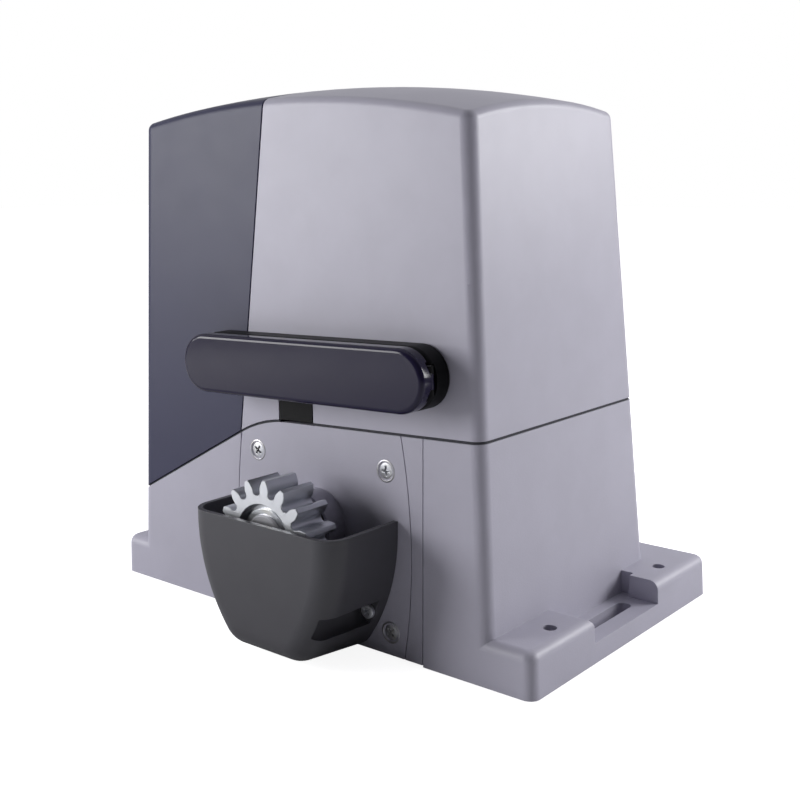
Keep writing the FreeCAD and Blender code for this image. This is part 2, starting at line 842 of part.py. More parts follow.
def gear_plate():
    """Return the flush front plate with its bearing boss."""
    solid = barrel(0, front_y, plate_back_y, plate_bottom).common(below_parting())
    boss = along_y(plate_boss_radius, plate_boss_y, plate_back_y)
    spigot = along_y(plate_spigot_radius, plate_back_y - 1, plate_back_y + plate_spigot)
    solid = joined([solid, boss, spigot])
    cuts = [
        along_y(bearing_radius, front_bearing_y, front_y + FAR),
        along_y(seal_radius, plate_boss_y - 1, plate_boss_y + seal_width),
        along_y(shaft_radius + 1.5, plate_boss_y - 1, front_y + FAR),
    ]
    cuts += plate_screw_holes()
    for x, z in guard_screw_places():
        cuts.append(along_y(guard_screw_shank / 2 + 0.1, front_y - 1, plate_back_y + 1, x, z))
    return solid.cut(cuts)


def guard_screws():
    """Return the pan-head screws of the pinion guard."""
    screws = []
    seat = guard_channel_rear_y
    for x, z in guard_screw_places():
        head = along_y(guard_screw_head / 2, seat - 3.0, seat, x, z)
        shank = along_y(guard_screw_shank / 2, seat - 1, plate_back_y, x, z)
        arm = guard_screw_head * 0.28
        cross = block(x - arm, x + arm, seat - 4, seat - 1.6, z - 0.5, z + 0.5)
        cross = cross.fuse(block(x - 0.5, x + 0.5, seat - 4, seat - 1.6, z - arm, z + arm))
        screws.append(joined([head, shank]).cut(cross))
    return Part.makeCompound(screws)


def bearing(outer, inner, start, run):
    """Return a ball bearing as its two rings and their shielded gap."""
    direction = run * (1 / run.Length)
    middle = (outer + inner) / 2
    solid = tube(outer, inner, start, start + run)
    for end in (start, start + run - direction * bearing_shield_depth):
        groove = tube(
            middle + 1.6, middle - 1.6, end - direction * 0.001, end + direction * bearing_shield_depth
        )
        solid = solid.cut(groove)
    return solid


def front_bearing():
    """Return the output bearing in the front plate."""
    start = Vector(axis_x, front_bearing_y, axis_z)
    return bearing(bearing_radius, shaft_radius + running_clearance, start, Y_AXIS * bearing_width)


def rear_bearing():
    """Return the output bearing in the gearbox's back wall."""
    start = Vector(axis_x, chamber_back_y, axis_z)
    return bearing(bearing_radius, shaft_radius + running_clearance, start, Y_AXIS * bearing_width)


def shaft_seal():
    """Return the lip seal in front of the output bearing."""
    body = ring_y(seal_radius, shaft_radius + 2.0, plate_boss_y + 0.5, plate_boss_y + seal_width)
    edge = ring_y(
        shaft_radius + 2.5, shaft_radius + running_clearance, plate_boss_y + 2.5, plate_boss_y + 4.0
    )
    return joined([body, edge])


# ---------------------------------------------------------------- pinion and output shaft
def involute_point(base_radius, radius, centre_angle):
    """Return the half-tooth angle and radius of an involute flank, in degrees and millimetres."""
    roll = math.sqrt(max((radius / base_radius) ** 2 - 1, 0))
    return centre_angle - math.degrees(roll - math.atan(roll))


def gear_face(module, teeth, y, phase, thinning=0.0):
    """Return the outline of an involute spur gear on the gear axis."""
    pitch_radius = module * teeth / 2
    base_radius = pitch_radius * math.cos(math.radians(pressure_angle))
    tip_radius = pitch_radius + module
    root_radius = pitch_radius - 1.25 * module
    roll = math.tan(math.radians(pressure_angle)) - math.radians(pressure_angle)
    half_angle = 90.0 / teeth + math.degrees(roll) - math.degrees(thinning / pitch_radius)

    def place(radius, angle):
        turn = math.radians(angle)
        return Vector(axis_x + radius * math.cos(turn), y, axis_z + radius * math.sin(turn))

    flank_radii = [base_radius + (tip_radius - base_radius) * step / 3 for step in range(4)]
    edges = []
    for index in range(teeth):
        middle = phase + index * 360.0 / teeth
        offsets = [involute_point(base_radius, radius, half_angle) for radius in flank_radii]
        falling = [place(radius, middle - offset) for radius, offset in zip(flank_radii, offsets)]
        rising = [place(radius, middle + offset) for radius, offset in zip(flank_radii, offsets)]
        next_falling = place(flank_radii[0], middle + 360.0 / teeth - offsets[0])
        edges.append(spline(falling))
        edges.append(Part.Arc(falling[-1], place(tip_radius, middle), rising[-1]).toShape())
        edges.append(spline(rising[::-1]))
        edges.append(Part.Arc(rising[0], place(root_radius, middle + 180.0 / teeth), next_falling).toShape())
    return Part.Face(Part.Wire(Part.__sortEdges__(edges)))


def spline(points):
    """Return a smooth edge through points."""
    curve = Part.BSplineCurve()
    curve.interpolate(points)
    return curve.toShape()


def pinion():
    """Return the rack pinion with its recess, hub, bore and keyway."""
    teeth = gear_face(pinion_module, pinion_teeth, pinion_face_y, pinion_phase).extrude(Y_AXIS * pinion_width)
    hub = along_y(pinion_hub_radius, pinion_rear_y - 1, hub_rear_y)
    cuts = [
        along_y(pinion_recess_radius, pinion_face_y - 1, pinion_face_y + pinion_recess_depth),
        along_y(shaft_radius, pinion_face_y - 1, hub_rear_y + 1),
        keyway(),
    ]
    return joined([teeth, hub]).cut(cuts)


def pinion_key():
    """Return the parallel key."""
    return keyway()


def keyway():
    """Return the form of the parallel key between shaft and pinion."""
    start = pinion_face_y + pinion_recess_depth + 3.0
    half = key_width / 2
    low = axis_z + shaft_radius - key_height / 2
    return block(axis_x - half, axis_x + half, start, start + key_length, low, low + key_height)


def circlip_y():
    """Return where the pinion's retaining ring starts."""
    return pinion_face_y + pinion_recess_depth - circlip_thickness


def pinion_circlip():
    """Return the retaining ring in front of the pinion's web, open at the bottom."""
    ring = ring_y(
        shaft_radius + 3.0, shaft_radius - circlip_depth, circlip_y(), circlip_y() + circlip_thickness
    )
    return ring.cut(block(axis_x - 3, axis_x + 3, -FAR, FAR, axis_z - 30, axis_z - 5))


def output_shaft():
    """Return the output shaft with its keyway, circlip groove and centre hole."""
    solid = along_y(shaft_radius, shaft_front_y, shaft_rear_y)
    rim = [edge for edge in solid.Edges if len(edge.Vertexes) == 1]
    solid = solid.makeChamfer(1.0, rim)
    centre = cone(3.0, 0.5, Vector(axis_x, shaft_front_y, axis_z), Vector(axis_x, shaft_front_y + 5, axis_z))
    groove = ring_y(
        shaft_radius + 1, shaft_radius - circlip_depth, circlip_y(), circlip_y() + circlip_thickness
    )
    return solid.cut([keyway(), groove, centre])


def shaft_collar():
    """Return the collar that the clutch springs push against."""
    start = front_bearing_y + bearing_width + 0.4
    return ring_y(collar_radius, shaft_radius, start, start + collar_length)


def clutch_springs():
    """Return the stack of disc springs, drawn at its length with the clutch released."""
    start = front_bearing_y + bearing_width + 0.4 + collar_length
    height = (clutch_front_y - clutch_travel - fit_gap - start) / disc_spring_count
    rise = height - disc_spring_thickness
    discs = []
    for index in range(disc_spring_count):
        y = start + index * height
        inner, outer = shaft_radius + 0.2, collar_radius
        near, far = (outer, inner) if index % 2 == 0 else (inner, outer)
        profile = Part.makePolygon([
            Vector(axis_x + near, y, axis_z),
            Vector(axis_x + near, y + disc_spring_thickness, axis_z),
            Vector(axis_x + far, y + disc_spring_thickness + rise, axis_z),
            Vector(axis_x + far, y + rise, axis_z),
            Vector(axis_x + near, y, axis_z),
        ])
        discs.append(Part.Face(profile).revolve(Vector(axis_x, 0, axis_z), Y_AXIS, 360))
    return Part.makeCompound(discs)


def dogs(inner, outer, y0, y1, play):
    """Return the clutch dogs as sectors, each grown in angle by a play."""
    sectors = []
    ring = ring_y(outer, inner, y0, y1)
    for index in range(dog_count):
        middle = 360.0 * index / dog_count
        half = dog_angle / 2 + play
        reach = outer / math.cos(math.radians(half)) + 1
        points = [Vector(axis_x, y0, axis_z)]
        for angle in (middle - half, middle + half):
            turn = math.radians(angle)
            points.append(Vector(axis_x + reach * math.cos(turn), y0, axis_z + reach * math.sin(turn)))
        sectors.append(ring.common(polygon_prism(points, Y_AXIS * (y1 - y0))))
    return sectors


def clutch_sleeve():
    """Return the sliding dog sleeve with its fork groove."""
    body = along_y(clutch_radius, clutch_front_y, clutch_back_y)
    teeth = dogs(shaft_radius + 2.0, clutch_radius, clutch_back_y - 1, clutch_back_y + dog_height, 0)
    solid = joined([body] + teeth)
    half = clutch_groove_width / 2
    groove = ring_y(
        clutch_radius + 1, clutch_radius - clutch_groove_depth, groove_centre_y - half, groove_centre_y + half
    )
    return solid.cut([groove, along_y(shaft_radius + running_clearance, -FAR, FAR)])


# ---------------------------------------------------------------- worm gear
def wheel_outline(y, turn):
    """Return the worm wheel's outline at one depth, turned by an angle."""
    tip = wheel_pitch_radius + worm_addendum
    root = wheel_pitch_radius - worm_dedendum
    pitch_angle = 360.0 / wheel_teeth
    slope = math.tan(math.radians(pressure_angle))
    half_pitch = tooth_share * worm_pitch / 2
    points = []
    for index in range(wheel_teeth):
        middle = index * pitch_angle - turn
        half_root = half_pitch + worm_dedendum * slope
        half_tip = half_pitch - worm_addendum * slope
        for radius, half in ((root, -half_root), (tip, -half_tip), (tip, half_tip), (root, half_root)):
            angle = math.radians(middle) + half / radius
            points.append(Vector(axis_x + radius * math.cos(angle), y, axis_z + radius * math.sin(angle)))
    return Part.makePolygon(points + [points[0]])


def worm_wheel():
    """Return the bronze wheel with slanted teeth, a thin web and dog pockets."""
    lead = worm_pitch / (2 * math.pi * worm_pitch_radius)
    twist = math.degrees(wheel_width / 2 * lead / wheel_pitch_radius)
    y0, y1 = wheel_y - wheel_width / 2, wheel_y + wheel_width / 2
    solid = Part.makeLoft([wheel_outline(y0, -twist), wheel_outline(y1, twist)], True, True)
    rim = wheel_pitch_radius - worm_dedendum - wheel_rim_thickness
    hub = clutch_radius + 1.0
    cuts = [along_y(shaft_radius, -FAR, FAR)]
    cuts.append(ring_y(rim + 3, hub, wheel_y + wheel_web_thickness / 2, y1 + 1))
    cuts += dogs(shaft_radius + 1.5, clutch_radius + 0.5, y0 - 1, y0 + dog_height, dog_play)
    return solid.cut(cuts)


def worm():
    """Return the single-start right-hand worm, threaded round its core."""
    core_radius = worm_pitch_radius - worm_dedendum
    z0, z1 = axis_z - worm_length / 2, axis_z + worm_length / 2
    slope = math.tan(math.radians(pressure_angle))
    half_pitch = tooth_share * worm_pitch / 2
    turns = math.floor(worm_length / worm_pitch) - 1
    height = turns * worm_pitch
    start_z = axis_z - height / 2
    sink = 0.8
    half_root = half_pitch + (worm_dedendum + sink) * slope
    half_tip = half_pitch - worm_addendum * slope
    helix = Part.makeHelix(worm_pitch, height, worm_pitch_radius)
    profile = Part.makePolygon([
        Vector(core_radius - sink, 0, -half_root),
        Vector(worm_pitch_radius + worm_addendum, 0, -half_tip),
        Vector(worm_pitch_radius + worm_addendum, 0, half_tip),
        Vector(core_radius - sink, 0, half_root),
        Vector(core_radius - sink, 0, -half_root),
    ])
    thread = Part.Wire(helix.Edges).makePipeShell([profile], True, True)
    thread.translate(Vector(worm_x, wheel_y, start_z))
    core = along_z(core_radius, z0, z1, worm_x, wheel_y)
    bore = along_z(motor_shaft_radius, z0 - 1, z1 + 1, worm_x, wheel_y)
    half_turns = height / 2 / worm_pitch
    solid = core.fuse(thread)
    solid.rotate(Vector(worm_x, wheel_y, 0), Z_AXIS, worm_phase(half_turns))
    return solid.cut(bore)


def worm_phase(half_turns):
    """Return the turn that puts a gap of the thread opposite the wheel's tooth."""
    return 180.0 - 360.0 * half_turns + 180.0


# ---------------------------------------------------------------- motor
def motor_shaft():
    """Return the motor shaft, which reaches down through the worm."""
    bottom = axis_z - worm_length / 2 - 2 - worm_bearing_width + 1
    return along_z(motor_shaft_radius, bottom, motor_top + motor_bell_height - 6, worm_x, wheel_y)


def worm_bearings():
    """Return the bearings below and above the worm."""
    inner = motor_shaft_radius + running_clearance
    low = Vector(worm_x, wheel_y, axis_z - worm_length / 2 - 2 - worm_bearing_width)
    high = Vector(worm_x, wheel_y, gearbox_top - worm_bearing_width)
    run = Z_AXIS * worm_bearing_width
    return Part.makeCompound([bearing(worm_bearing_radius, inner, place, run) for place in (low, high)])


def rotor_bearing():
    """Return the bearing in the motor's end bell."""
    inner = motor_shaft_radius + running_clearance
    return bearing(
        worm_bearing_radius, inner, Vector(worm_x, wheel_y, motor_top), Z_AXIS * worm_bearing_width
    )


def stator_bottom():
    """Return the height of the stator stack's lower face."""
    return (motor_bottom + motor_top - stator_stack) / 2


def motor_can():
    """Return the motor's drawn steel can with its bottom flange."""
    can = along_z(motor_radius, motor_bottom, motor_top, worm_x, wheel_y)
    inside = along_z(motor_radius - motor_can_thickness, motor_bottom + 3, motor_top + 1, worm_x, wheel_y)
    hole = along_z(motor_shaft_radius + 3, motor_bottom - 1, motor_bottom + 4, worm_x, wheel_y)
    return can.cut([inside, hole])


def stator_core():
    """Return the stator's lamination stack with its winding slots."""
    z0 = stator_bottom()
    outer = motor_radius - motor_can_thickness
    solid = along_z(outer, z0, z0 + stator_stack, worm_x, wheel_y)
    cuts = [along_z(stator_bore, z0 - 1, z0 + stator_stack + 1, worm_x, wheel_y)]
    for x, y in ring_places(stator_slots, stator_bore + 6.0):
        cuts.append(along_z(3.0, z0 - 1, z0 + stator_stack + 1, x, y))
    for x, y in ring_places(4, motor_radius - motor_can_thickness - 4.0, 45.0):
        cuts.append(along_z(tie_bolt_radius + 0.5, z0 - 1, z0 + stator_stack + 1, x, y))
    return solid.cut(cuts)


def ring_places(count, radius, phase=0.0):
    """Return plan positions evenly spaced round the motor's axis."""
    places = []
    for index in range(count):
        turn = math.radians(phase + 360.0 * index / count)
        places.append((worm_x + radius * math.cos(turn), wheel_y + radius * math.sin(turn)))
    return places


def stator_windings():
    """Return the two rounded winding heads beyond the stack."""
    heads = []
    inner, outer = stator_bore + 2.0, motor_radius - motor_can_thickness - 8.0
    z0 = stator_bottom()
    low = Vector(worm_x, wheel_y, z0 - winding_height)
    high = Vector(worm_x, wheel_y, z0 + stator_stack)
    for start in (low, high):
        head = tube(outer, inner, start, start + Z_AXIS * winding_height)
        far = start.z if start is low else start.z + winding_height
        rims = [edge for edge in head.Edges if len(edge.Vertexes) == 1 and abs(edge.Vertexes[0].Point.z - far) < 0.1]
        heads.append(head.makeFillet(3.0, rims))
    return Part.makeCompound(heads)


def rotor_core():
    """Return the rotor's cage with its end rings."""
    z0 = stator_bottom() + (stator_stack - rotor_stack) / 2
    stack = along_z(rotor_radius, z0, z0 + rotor_stack, worm_x, wheel_y)
    rings = along_z(rotor_radius - 4.0, z0 - 6, z0 + rotor_stack + 6, worm_x, wheel_y)
    return joined([stack, rings]).cut(along_z(motor_shaft_radius, 0, FAR, worm_x, wheel_y))


def motor_end_bell():
    """Return the die-cast end bell on top of the motor."""
    top = motor_top + motor_bell_height
    disc = along_z(motor_radius, motor_top, motor_top + 6, worm_x, wheel_y)
    dome_part = cone(motor_radius - 6, worm_bearing_radius + 8, Vector(worm_x, wheel_y, motor_top + 6), Vector(worm_x, wheel_y, top))
    cuts = [along_z(worm_bearing_radius, motor_top - 1, motor_top + worm_bearing_width, worm_x, wheel_y)]
    cuts.append(along_z(motor_shaft_radius + 2, motor_top, top + 1, worm_x, wheel_y))
    for x, y in ring_places(4, motor_radius - motor_can_thickness - 4.0, 45.0):
        cuts.append(along_z(tie_bolt_radius + 0.3, motor_top - 1, motor_top + 7, x, y))
        cuts.append(along_z(tie_bolt_radius + 2.7, motor_top + 6, top + 1, x, y))
    return joined([disc, dome_part]).cut(cuts)


def motor_tie_bolts():
    """Return the long bolts through end bell and stator."""
    bolts = []
    for x, y in ring_places(4, motor_radius - motor_can_thickness - 4.0, 45.0):
        shank = along_z(tie_bolt_radius, motor_bottom + 3, motor_top + 7, x, y)
        head = along_z(tie_bolt_radius + 2.0, motor_top + 6, motor_top + 10, x, y)
        bolts.append(joined([shank, head]))
    return Part.makeCompound(bolts)


def encoder_magnet():
    """Return the magnet wheel on the shaft's top end."""
    z0 = motor_top + motor_bell_height - 6
    return along_z(motor_shaft_radius + 1.0, z0, z0 + 5.0, worm_x, wheel_y)


def encoder_board():
    """Return the sensor board that faces the magnet, on its own feet."""
    z0 = motor_top + motor_bell_height
    board = block(worm_x - 16, worm_x + 16, wheel_y - 10, wheel_y + 10, z0 + 3, z0 + 4.6)
    feet = []
    for side in (-1, 1):
        feet.append(along_z(2.5, z0, z0 + 3.5, worm_x + side * 12.5, wheel_y))
    chip = block(worm_x - 3, worm_x + 3, wheel_y - 3, wheel_y + 3, z0 + 1.2, z0 + 3.5)
    return joined([board, chip] + feet)


# ---------------------------------------------------------------- release bar
def tilted(shape):
    """Return a shape of the bar turned to the bar's rise."""
    copy = shape.copy()
    copy.rotate(Vector(bar_centre_x, 0, bar_centre_z), Y_AXIS, -bar_rise)
    return copy


def bar_outline(shrink, y0, y1):
    """Return the bar's stadium prism between two depths, level, before its rise."""
    centre = Vector(bar_centre_x, y0, bar_centre_z)
    return stadium(bar_length - 2 * shrink, bar_height - 2 * shrink, centre, Vector(0, y1 - y0, 0))


def hinge_x():
    """Return the hinge's place along the level bar."""
    return bar_centre_x + bar_length / 2 - hinge_end_distance


def hinge_form(radius, low, high):
    """Return a cylinder on the hinge axis between two heights from the bar's middle."""
    start = Vector(hinge_x(), hinge_y, bar_centre_z + low)
    return cylinder(radius, start, start + Z_AXIS * (high - low))


def stem():
    """Return the block that fills the cover's notch and its foot on the gearbox."""
    left, right = stem_centre_x - stem_half_width, stem_centre_x + stem_half_width
    back = front_y + stem_depth
    column = block(left, right, front_y, back, axis_z, stem_height).cut(below_parting(parting_gap))
    root = block(left, right, plate_back_y + 0.3, back, gearbox_top, stem_height)
    foot = block(
        left, right, plate_back_y + 0.3, back + stem_foot_depth, gearbox_top, gearbox_top + stem_foot_height
    )
    neck = block(left, right, front_y - seat_back_gap - 0.5, front_y + 1, bar_centre_z - 12, stem_height - 3)
    return joined([column, root, foot, neck])


def seat_screw_places():
    """Return the plan positions of the screws in the stem's foot."""
    y = front_y + stem_depth + stem_foot_depth / 2
    return [(stem_centre_x - 7.5, y), (stem_centre_x + 7.5, y)]


def release_seat():
    """Return the bar's rear layer with its stem and hinge ears."""
    body = bar_outline(0, seat_front_y, front_y - seat_back_gap)
    body = fillet_where(body, seat_edge_round, lambda point: point.y < seat_front_y + 0.01)
    left_end = bar_centre_x - bar_length / 2
    finger = block(left_end - 1, left_end + finger_recess_length, seat_front_y - 1, seat_front_y + finger_recess_depth,
                   0, FAR)
    ears = [
        hinge_form(knuckle_radius, -ear_half_height, -knuckle_half_height - 0.3),
        hinge_form(knuckle_radius, knuckle_half_height + 0.3, ear_half_height),
    ]
    relief_depth = hinge_end_distance + seat_relief_play
    relief = block(hinge_x(), hinge_x() + FAR / 10, hinge_y - 1, hinge_y + relief_depth, 0, FAR)
    webs = []
    for low, high in ((-ear_half_height, -knuckle_half_height - 0.3), (knuckle_half_height + 0.3, ear_half_height)):
        z = bar_centre_z
        webs.append(block(hinge_x() - knuckle_radius, hinge_x(), hinge_y, hinge_y + 5, z + low, z + high))
    body = joined([body.cut([finger, relief])] + ears + webs)
    room = hinge_form(knuckle_radius + 0.5, -knuckle_half_height - 0.3, knuckle_half_height + 0.3)
    body = tilted(body.cut([room, hinge_form(hinge_pin_radius, -ear_half_height - 1, ear_half_height + 1)]))
    solid = joined([body, stem()])
    cuts = [along_z(release_rod_radius + running_clearance, 0, release_rod_top + 6, release_rod_x, release_rod_y)]
    for x, y in seat_screw_places():
        cuts.append(along_z(seat_screw_radius, 0, FAR, x, y))
    return solid.cut(cuts)


def seat_screws():
    """Return the screws that hold the stem's foot to the gearbox."""
    screws = []
    top = gearbox_top + stem_foot_height
    for x, y in seat_screw_places():
        head = along_z(3.8, top, top + 3, x, y)
        shank = along_z(seat_screw_radius, gearbox_top - gearbox_roof + 1, top + 1, x, y)
        screws.append(joined([head, shank]))
    return Part.makeCompound(screws)


def lever_pin():
    """Return the hinge pin of the release lever."""
    return tilted(hinge_form(hinge_pin_radius, -ear_half_height, ear_half_height))


def release_lever():
    """Return the bar's front layer: a bevelled stadium with its hinge knuckle."""
    body = bar_outline(0, lever_front_y, lever_back_y)
    body = fillet_where(body, lever_bevel, lambda point: point.y < lever_front_y + 0.01)
    back = [edge for edge in body.Edges if all(vertex.Point.y > lever_back_y - 0.01 for vertex in edge.Vertexes)]
    body = body.makeChamfer(lever_back_chamfer, back)
    clear = knuckle_radius + 0.4
    rooms = [
        hinge_form(clear, -ear_half_height - 2.0, -knuckle_half_height),
        hinge_form(clear, knuckle_half_height, ear_half_height + 2.0),
    ]
    knuckle = hinge_form(knuckle_radius, -knuckle_half_height, knuckle_half_height)
    solid = joined([body.cut(rooms), knuckle])
    return tilted(solid.cut(hinge_form(hinge_pin_radius + running_clearance, -FAR, FAR)))


def release_rod():
    """Return the pull rod in the stem, with the head that lifts the crank."""
    low = crank_pivot_z - crank_thickness / 2 - 3.2
    rod = along_z(release_rod_radius, low, release_rod_top, release_rod_x, release_rod_y)
    head = along_z(release_rod_radius + 1.6, low, low + 2.4, release_rod_x, release_rod_y)
    return joined([rod, head])


def release_crank():
    """Return the bell crank: an arm to the rod and a fork down to the clutch sleeve."""
    y = crank_pivot_y
    half = crank_thickness / 2
    half_arm = crank_arm_width / 2
    tip_y = release_rod_y - release_rod_radius - 1.5
    arm = block(stem_centre_x - half_arm, stem_centre_x + half_arm, tip_y, y, crank_pivot_z - half, crank_pivot_z + half)
    left, right = Vector(axis_x - crank_reach, y, crank_pivot_z), Vector(
        axis_x + crank_reach, y, crank_pivot_z
    )
    parts = [arm, cylinder(crank_pin_radius + 2.5, left, right)]
    for side in (-1, 1):
        x = axis_x + side * crank_tine_x
        parts.append(block(x - half, x + half, y - half, y + half, axis_z - 3, crank_pivot_z))
        inner = axis_x + side * (clutch_radius - clutch_groove_depth + 0.8)
        parts.append(cylinder(half, Vector(x, y, axis_z), Vector(inner, y, axis_z)))
    solid = joined(parts)
    play = release_rod_radius + 0.6
    slot = block(release_rod_x - play, release_rod_x + play, tip_y - 2, release_rod_y + play, 0, FAR)
    bore = cylinder(crank_pin_radius + running_clearance, left - X_AXIS, right + X_AXIS)
    return solid.cut([slot, bore])


def crank_pin():
    """Return the pin on which the crank swings."""
    reach = X_AXIS * (crank_reach + 6.0)
    middle = Vector(axis_x, crank_pivot_y, crank_pivot_z)
    return cylinder(crank_pin_radius, middle - reach, middle + reach)


# ---------------------------------------------------------------- pinion guard
def guard_section(y, inset, top):
    """Return the guard's outline at one depth: bowed sides, round corners and a flat bottom."""
    share = (y - front_y) / (guard_front_y - front_y)

    def between(rear, front):
        return rear + (front - rear) * share

    half = between(guard_rear_half, guard_front_half) - inset
    side_radius = between(guard_rear_side_radius, guard_front_side_radius) - inset
    side_z = between(guard_rear_side_z, guard_front_side_z)
    corner_radius = between(guard_rear_corner_radius, guard_front_corner_radius) - inset
    bottom = between(guard_rear_bottom, guard_front_bottom) + inset
    hub = Vector(guard_centre_x + half - side_radius, y, side_z)
    corner_z = bottom + corner_radius
    reach = side_radius - corner_radius
    corner_x = hub.x + math.sqrt(reach ** 2 - (side_z - corner_z) ** 2)
    corner_hub = Vector(corner_x, y, corner_z)
    turn = math.atan2(corner_z - side_z, corner_x - hub.x)

    def on_arc(centre, radius, angle):
        return centre + Vector(math.cos(angle), 0, math.sin(angle)) * radius

    def flip(point):
        return Vector(2 * guard_centre_x - point.x, point.y, point.z)

    side = on_arc(hub, side_radius, 0)
    bow = on_arc(hub, side_radius, turn / 2)
    meet = on_arc(hub, side_radius, turn)
    corner = on_arc(corner_hub, corner_radius, (turn - math.pi / 2) / 2)
    foot = on_arc(corner_hub, corner_radius, -math.pi / 2)
    rim = Vector(side.x, y, top)
    edges = [
        Part.makeLine(rim, side),
        Part.Arc(side, bow, meet).toShape(),
        Part.Arc(meet, corner, foot).toShape(),
        Part.makeLine(foot, flip(foot)),
        Part.Arc(flip(foot), flip(corner), flip(meet)).toShape(),
        Part.Arc(flip(meet), flip(bow), flip(side)).toShape(),
        Part.makeLine(flip(side), flip(rim)),
        Part.makeLine(flip(rim), rim),
    ]
    return Part.Wire(edges)


def guard_block(inset, front, top):
    """Return the guard's tapered block, moved in by an inset, with a round front edge."""
    solid = Part.makeLoft([guard_section(front_y, inset, top), guard_section(front, inset, top)], True, True)
    edges = []
    for edge in solid.Edges:
        on_front = all(vertex.Point.y < front + 0.01 for vertex in edge.Vertexes)
        if on_front and edge.CenterOfMass.z < top - 0.5:
            edges.append(edge)
    return solid.makeFillet(guard_edge_radius - inset, edges)


def guard_channel(side, radius):
    """Return one screwdriver channel along Y, open outward, that starts round behind the front."""
    x = guard_centre_x + side * guard_channel_x
    start = Vector(x, guard_front_y + radius / 2, guard_channel_z)
    end = Vector(x, guard_channel_rear_y, guard_channel_z)
    channel = cylinder(radius, start, end)
    outward = block(0, 2 * radius + 20, start.y, end.y, -radius, radius)
    outward.translate(Vector(x, 0, guard_channel_z))
    return channel.fuse(outward if side > 0 else mirrored(outward, x))


def pinion_guard():
    """Return the cup that keeps fingers off the pinion, open upward to the rack."""
    solid = guard_block(0, guard_front_y, guard_top)
    inside = guard_block(guard_wall, guard_front_y + guard_wall, guard_top + 1)
    cuts = []
    for side in (-1, 1):
        column = along_y(
            guard_channel_radius + guard_wall, guard_front_y, front_y + 1, *guard_screw_places()[side > 0]
        )
        inside = inside.cut(column)
        cuts.append(guard_channel(side, guard_channel_radius))
    for x, z in guard_screw_places():
        cuts.append(along_y(guard_screw_shank / 2 + 0.1, guard_channel_rear_y - 1, front_y + 1, x, z))
    return solid.cut([inside] + cuts)


# ---------------------------------------------------------------- cover
def cover_wall_form(outer, inner):
    """Return the cover's wall between two insets, above the parting gap."""
    outside = envelope(outer).common(dome(outer))
    if outer == 0:
        radius = cover_edge_radius
        outside = fillet_where(outside, radius, lambda point: point.z > crown_height - 60)
    inside = envelope(inner, -1).common(dome(inner))
    return outside.cut(inside).cut(below_parting(parting_gap))


def cover_notch():
    """Return the notch in the cover's front that passes the stem as the cover lifts."""
    half = stem_half_width + stem_clearance
    left, right = stem_centre_x - half, stem_centre_x + half
    top = stem_height + stem_clearance
    return block(left, right, front_y - 2, front_y + cover_wall + 8, 0, top)


def cover_shell():
    """Return the light moulding of the cover with the lap behind the panel's edge."""
    wall = cover_wall_form(0, cover_wall).common(seam_band(seam_gap / 2, FAR))
    lap_outer = cover_wall + joint_clearance
    lap_inner = cover_wall + lap_thickness
    lap = cover_wall_form(lap_outer, lap_inner).common(seam_band(-lap_width, seam_gap))
    root = cover_wall_form(cover_wall - 0.5, lap_inner).common(seam_band(seam_gap / 2, seam_gap / 2 + 6))
    solid = joined([wall, lap, root])
    cuts = [cover_notch(), below_parting(parting_gap + lip_height + 1.0).common(envelope(cover_wall, -1))]
    x, z = cover_lug_places()[1]
    cuts.append(along_y(2.2, 0, FAR, x, z))
    return solid.cut(cuts)


def cover_side_panel():
    """Return the dark left moulding of the cover."""
    wall = cover_wall_form(0, cover_wall).common(seam_band(-FAR, -seam_gap / 2))
    x, z = cover_lug_places()[0]
    return wall.cut([cover_notch(), along_y(2.2, 0, FAR, x, z)])


def cover_screws():
    """Return the two captive screws at the cover's back."""
    screws = []
    for x, z in cover_lug_places():
        wall = back_y(z)
        inner = back_y(z, cover_wall + lip_clearance + lip_thickness) - lug_thickness - 5.0
        shank = along_y(2.0, inner, wall + 0.5, x, z)
        head = along_y(4.0, wall + 0.45, wall + 3.2, x, z)
        screws.append(joined([shank, head]))
    return Part.makeCompound(screws)


def cover_nuts():
    """Return the square nuts of the cover screws, behind the base's slotted lugs."""
    nuts = []
    for x, z in cover_lug_places():
        face = back_y(z, cover_wall + lip_clearance + lip_thickness) - lug_thickness - 0.3
        nut = block(x - 4, x + 4, face - 3.2, face, z - 4, z + 4)
        nuts.append(nut.cut(along_y(2.0, face - 5, face + 1, x, z)))
    return Part.makeCompound(nuts)


# ---------------------------------------------------------------- electrical parts
def board_tray():
    """Return the upright plastic tray with its foot and standoffs."""
    left, right = board_left, board_left + board_width
    face = board_y + standoff_length
    back = face + tray_thickness
    plate = block(left, right, face, back, board_bottom - 8, board_bottom + board_height)
    leg = block(left, left + 52, face, back, base_floor + boss_height, board_bottom)
    foot = block(
        left, left + 52, face, back + tray_foot_reach, base_floor + boss_height, base_floor + boss_height + 3
    )
    parts = [plate, leg, foot]
    for step in range(3):
        x = left + 3 + step * 22
        points = [Vector(x, back - 0.5, base_floor + boss_height + 2), Vector(x, back + 14, base_floor + boss_height + 2),
                  Vector(x, back - 0.5, board_bottom)]
        parts.append(polygon_prism(points, X_AXIS * 2.5))
    for x, z in standoff_places():
        parts.append(along_y(3.0, board_y + board_thickness, face + 1, x, z))
    solid = joined(parts)
    return solid.cut([along_z(1.8, 0, FAR, x, y) for x, y in boss_places()])


def standoff_places():
    """Return x and z of the board's four standoffs."""
    left, right = board_left + 5, board_left + board_width - 5
    low, high = board_bottom + 5, board_bottom + board_height - 5
    return [(left, low), (right, low), (left, high), (right, high)]


